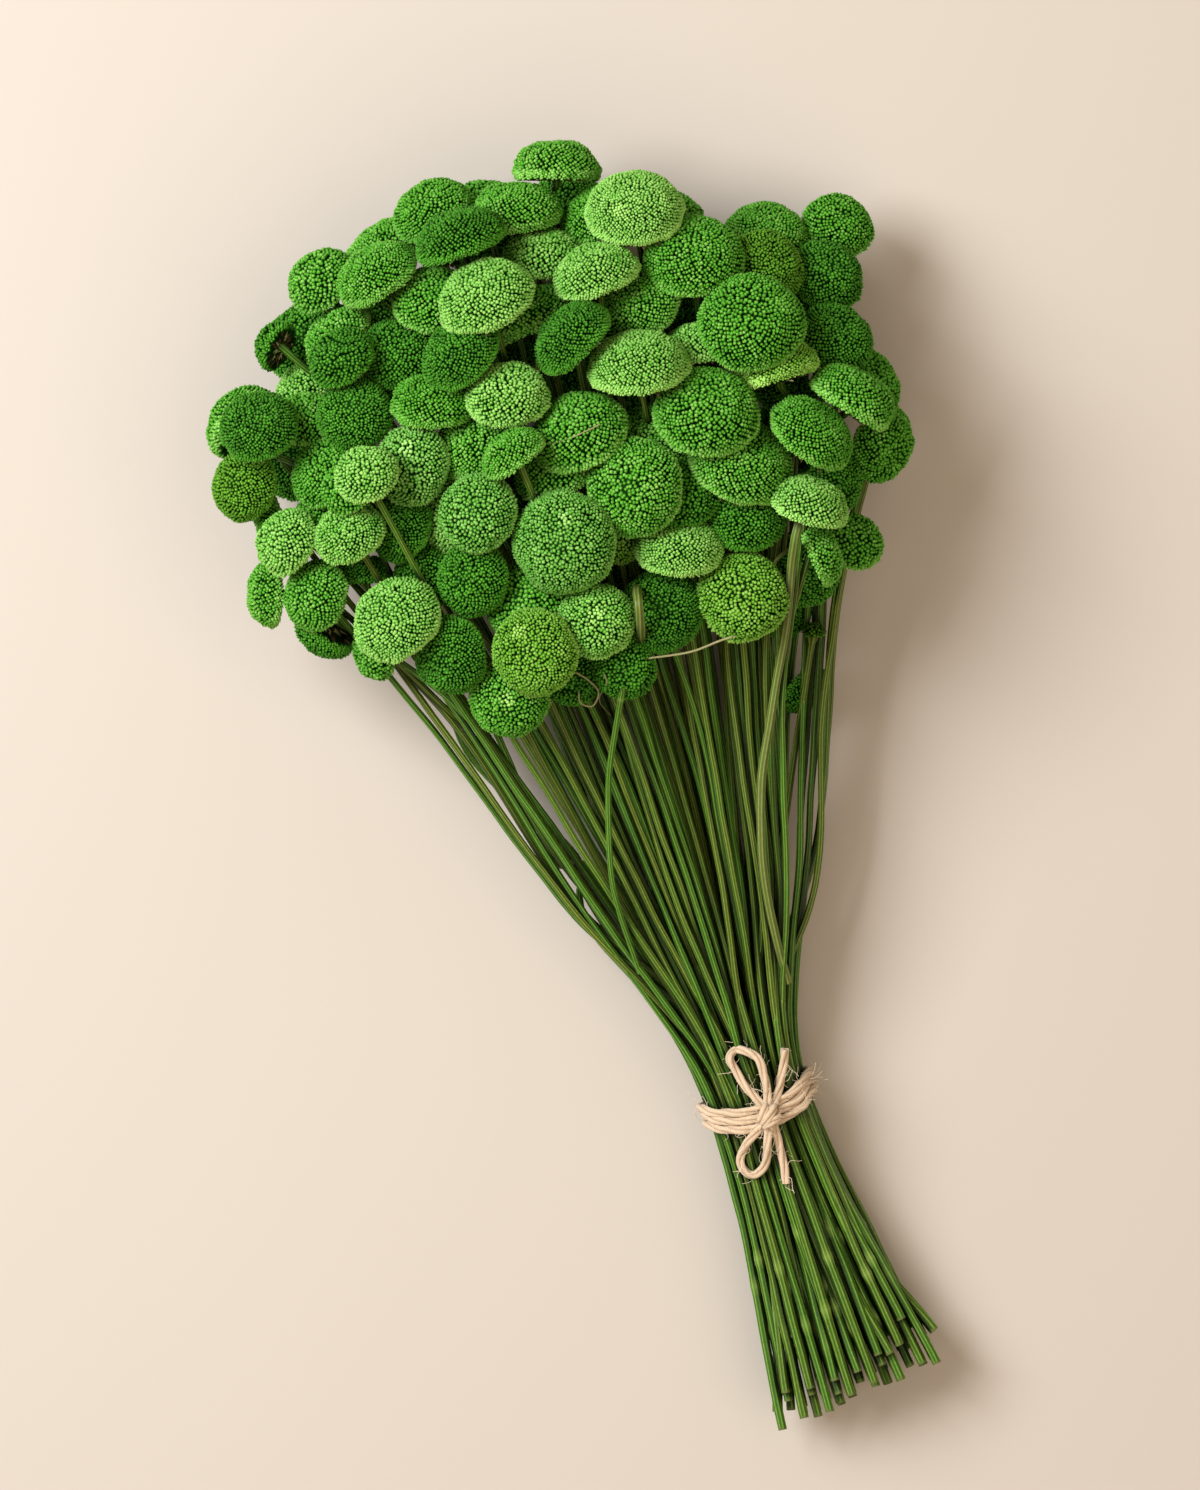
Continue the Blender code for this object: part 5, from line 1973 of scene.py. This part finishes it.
        way = tree.vector("ADD", tree.direction("out"), tree.scaled(side, self.fibre_lean))
        turned = tree.turn_to(tree.vector("NORMALIZE", way), side)
        return tree.store(tree.plant(points, hair, turned, (tall, tall, tall)), "loose", 1.0)

    def build(self, ground: BVHTree, stems: list[list[Vector]]) -> bpy.types.Object:
        """Wind the twine over the stems.

        Args:
            ground: The surface of the frame's flowers.
            stems: The way of each stem.

        Returns:
            The finished piece.
        """
        lines, length = self.start_mesh(ground, stems)
        mesh = self.make_tree().grow("jute_bow", lines)
        piece = in_scene("jute_bow", mesh)
        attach(piece, BODY)
        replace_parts(piece, "twine_tie")
        LOG.info("twine: %.0f mm long, %d faces", length / MM, len(mesh.polygons))
        return piece


@dataclass
class Studio:
    """Pale floor, soft light from the upper left and the camera straight above."""

    floor_half: float = 2.0
    floor_dark: tuple = (0.572, 0.528, 0.480)
    floor_pale: tuple = (0.597, 0.554, 0.505)
    mottle_scale: float = 3.0
    roughness: float = 0.9
    shine: float = 0.1
    camera_height: float = 3.0
    subject_height: float = 0.05
    middle_pixel: tuple = (PHOTO_WIDE / 2, PHOTO_HIGH / 2)
    sensor: float = 36.0
    key_place: tuple = (-1.0, 0.50, 1.25)
    key_size: float = 0.95
    key_power: float = 36.0
    fill_place: tuple = (0.7, -0.7, 2.0)
    fill_size: float = 2.6
    fill_power: float = 24.0
    world_strength: float = 0.30
    warm: tuple = (1.0, 0.80, 0.60)

    def build(self) -> None:
        """Make the floor, lights and camera."""
        self.floor()
        self.camera()
        self.lamp("key", self.key_place, self.key_size, self.key_power)
        self.lamp("fill", self.fill_place, self.fill_size, self.fill_power).color = self.warm
        world = bpy.data.worlds.new("soft_room")
        world.use_nodes = True
        back = world.node_tree.nodes["Background"]
        back.inputs[0].default_value = (*self.warm, 1.0)
        back.inputs[1].default_value = self.world_strength
        scene = bpy.context.scene
        scene.world = world
        scene.view_settings.view_transform = "Standard"

    def floor(self) -> None:
        """Lay the pale floor."""
        mesh = bpy.data.meshes.new("pale_floor")
        half = self.floor_half
        corners = [(-half, -half, 0.0), (half, -half, 0.0), (half, half, 0.0), (-half, half, 0.0)]
        mesh.from_pydata(corners, [], [(0, 1, 2, 3)])
        finish = Finish("cream_paper")
        mottle = finish.noise(finish.object_place(), self.mottle_scale, 3.0)
        colour = finish.mix(mottle, self.floor_dark, self.floor_pale)
        paper = finish.done(colour, Roughness=self.roughness, Specular_IOR_Level=self.shine)
        mesh.materials.append(paper)
        in_scene("pale_floor", mesh)

    def camera(self) -> None:
        """Hang the camera straight over the photograph's middle."""
        data = bpy.data.cameras.new("overhead")
        data.sensor_width = self.sensor
        data.sensor_fit = "AUTO"
        away = self.camera_height - self.subject_height
        data.lens = self.sensor * away / (PHOTO_HIGH * PIXEL)
        camera = in_scene("overhead", data)
        camera.location = photo_point(*self.middle_pixel) + UP * self.camera_height
        bpy.context.scene.camera = camera

    def lamp(self, name: str, away: tuple, size: float, power: float) -> bpy.types.AreaLight:
        """Hang a soft square lamp that faces the photograph's middle.

        Args:
            name: The lamp's name.
            away: Where it hangs, from that middle.
            size: Its side in metres.
            power: Its power in watts.

        Returns:
            The lamp's data.
        """
        data = bpy.data.lights.new(name, "AREA")
        data.shape = "SQUARE"
        data.size = size
        data.energy = power
        middle = photo_point(*self.middle_pixel)
        place = middle + Vector(away)
        lamp = in_scene(name, data)
        lamp.location = place
        lamp.rotation_euler = (place - middle).to_track_quat("Z", "Y").to_euler()
        return data


def nearest_flower(bunch: dict[str, list[Flower]], pixel: tuple[float, float]) -> Flower:
    """Find the flower whose head the photograph shows at a pixel.

    Args:
        bunch: The flowers of each solid.
        pixel: The pixel.

    Returns:
        The nearest flower, of which a higher one counts as a little nearer.
    """
    spot = photo_point(*pixel)
    everyone = [flower for flowers in bunch.values() for flower in flowers]

    def distance(flower: Flower) -> float:
        """Give how far a head lies from the pixel's place."""
        return (flower.middle.xy - spot.xy).length - HIGHER_IS_NEARER * flower.middle.z

    return min(everyone, key=distance)


def tone_heads(bunch: dict[str, list[Flower]]) -> None:
    """Give each head the tone and the pale clump that the photograph shows at its place.

    Args:
        bunch: The flowers of each solid.
    """
    for tone, pixels in HEAD_TONES.items():
        for pixel in pixels:
            nearest_flower(bunch, pixel).tone = tone
    for head, clump, reach in PALE_CLUMPS:
        flower = nearest_flower(bunch, head)
        flower.clump = photo_point(*clump)
        flower.clump_reach = reach * MM


@dataclass(frozen=True)
class LooseStem:
    """A loose stem, tendril or fibre that lies on the bunch."""

    pixels: tuple
    radius: float
    tint: float = 0.5
    dry: float = 0.0
    open_top: float = 0.0
    open_share: float = 3.0
    lift: float = 1.2 * MM
    sink: float = 0.0
    tuck: float = 0.0
    evenings: int = 3

    def lie_on(self, ground: BVHTree) -> list[Vector]:
        """Lay the stem on the bunch.

        Args:
            ground: The surface that it lies on.

        Returns:
            Its way, evened so that it doesn't dive into gaps.
        """
        way = []
        for pixel in self.pixels:
            spot = photo_point(*pixel)
            way.append(Vector((spot.x, spot.y, height_of(ground, spot) + self.radius + self.lift)))
        for _ in range(self.evenings):
            for before, spot, after in zip(way, way[1:], way[2:]):
                spot.z = max(spot.z, (before.z + after.z) / 2)
        way[-1].z -= self.sink
        way[0].z -= self.tuck
        return way

    def thick_at(self, run: float) -> float:
        """Give the radius at a share of the way, which opens towards the top's broken end."""
        return self.radius * (1.0 + self.open_top * max(0.0, 1.0 - self.open_share * run))


LOOSE_STEMS = [
    LooseStem(((398, 507), (408, 500), (419, 491)), 0.16 * MM, dry=0.9, lift=2.5 * MM),
    LooseStem(((552, 447), (574, 440), (600, 428)), 0.20 * MM, dry=0.9, lift=2.5 * MM),
    LooseStem(((637, 577), (638, 594), (641, 622), (643, 652), (646, 690)), 1.35 * MM, tint=0.2,
              dry=0.1, open_top=0.35, lift=8.0 * MM, sink=10.0 * MM),
    LooseStem(((752, 632), (722, 640), (690, 652), (645, 660)), 0.32 * MM, dry=0.9, lift=2.0 * MM),
    LooseStem(((575, 672), (588, 680), (598, 692), (592, 706), (580, 703), (578, 692)), 0.25 * MM,
              dry=0.8, lift=2.0 * MM),
    LooseStem(((600, 668), (607, 684), (600, 700), (610, 716)), 0.22 * MM, dry=0.8, lift=2.0 * MM),
    LooseStem(((623, 690), (612, 750), (608, 800), (611, 870), (621, 915), (640, 975)), 0.9 * MM,
              tint=1.2, sink=4.0 * MM),
    LooseStem(((799, 518), (793, 536), (790, 562), (788, 592), (783, 642), (772, 706), (762, 790),
               (766, 880), (790, 985)), 1.3 * MM, tint=0.25, dry=0.12, lift=3.4 * MM, sink=7.0 * MM,
              tuck=9.0 * MM),
    LooseStem(((795, 547), (785, 553), (776, 562), (770, 574)), 0.6 * MM, tint=0.4, dry=0.2,
              lift=2.2 * MM),
]


@dataclass
class Undergrowth:
    """Small dark flowers low in the bunch, where the photograph's gaps are dark, and one bud."""

    pixels: tuple = ((302, 338), (293, 453), (494, 250), (521, 352), (570, 382), (634, 402),
                     (617, 577), (566, 203), (803, 303), (440, 300), (690, 450), (470, 480))
    low: float = 15.0 * MM
    high: float = 27.0 * MM
    small: float = 20.0 * MM
    large: float = 25.0 * MM
    lean: float = 0.45
    bud_pixel: tuple = (815, 629)
    bud_height: float = 38.5 * MM
    bud_size: float = 5.6 * MM
    bud_lean: float = 3.0
    tie_spread: float = 7.0 * MM
    tie_low: float = 9.0 * MM
    tie_high: float = 20.0 * MM
    stem_places: int = 8
    stem_sag: float = 6.0 * MM
    beyond_tie: float = 12.0 * MM

    def stem_to_tie(self, middle: Vector, draw: random.Random) -> list[Vector]:
        """Run a stem in under the others to the tie.

        Args:
            middle: Where the head sits.
            draw: Source of chance for the place in the tie.

        Returns:
            The stem's way from below the head to past the tie.
        """
        tie = TIE_MIDDLE + ACROSS_STEMS * draw.uniform(-self.tie_spread, self.tie_spread)
        tie.z = draw.uniform(self.tie_low, self.tie_high)
        count = self.stem_places
        path = [middle.lerp(tie, step / count) for step in range(1, count + 1)]
        for step, spot in enumerate(path, 1):
            spot.z -= self.stem_sag * math.sin(math.pi * step / count)
        path.append(tie - ALONG_STEMS * self.beyond_tie)
        return path

    def place_flower(self, pixel: tuple, height: float, lean: float, draw: random.Random) -> Flower:
        """Place one flower.

        Args:
            pixel: Where the photograph shows it, or would.
            height: How high its head sits.
            lean: How far it faces away from the tie.
            draw: Source of chance for its stem.

        Returns:
            The flower, as small and dark as the bud.
        """
        middle = photo_point(*pixel)
        middle.z = height
        away = (middle - TIE_MIDDLE).normalized()
        facing = (UP + away * lean).normalized()
        return Flower(middle, facing, self.bud_size, self.stem_to_tie(middle, draw), Tone.BUD)

    def flowers(self) -> list[Flower]:
        """Place the flowers and the bud.

        Returns:
            The flowers, with the bud as the last one.
        """
        draw = random.Random("undergrowth")
        made = []
        for pixel in self.pixels:
            flower = self.place_flower(pixel, draw.uniform(self.low, self.high), self.lean, draw)
            flower.diameter = draw.uniform(self.small, self.large)
            # Dark tone: partly dye, partly painted shade for the gaps that these low heads fill.
            flower.tone = Tone.DARK
            made.append(flower)
        return made + [self.place_flower(self.bud_pixel, self.bud_height, self.bud_lean, draw)]


def frame_surface() -> BVHTree:
    """Gather the surface of all the frame's flowers.

    Returns:
        The surface, ready for rays.
    """
    corners, faces = [], []
    for name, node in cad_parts.items():
        if not name.startswith("twine"):
            first = len(corners)
            corners += [vert.co.copy() for vert in node.data.vertices]
            faces += [[first + number for number in face.vertices] for face in node.data.polygons]
    return BVHTree.FromPolygons(corners, faces)


def main() -> None:
    """Dress the whole bunch."""
    logging.basicConfig(level=logging.INFO)
    Studio().build()
    bunch = BunchReader().read()
    tone_heads(bunch)
    work = FlowerWork()
    for name, flowers in bunch.items():
        work.dress_solid(name, flowers)
    work.grow_piece("low_flowers", work.start_mesh("low_flowers_lines", Undergrowth().flowers()))
    ground = frame_surface()
    work.grow_piece("loose_stems", work.loose_mesh("loose_stem_lines", LOOSE_STEMS, ground))
    Twine().build(ground, [work.stem_way(flower) for flowers in bunch.values() for flower in flowers])


if __name__ == "__main__":
    main()
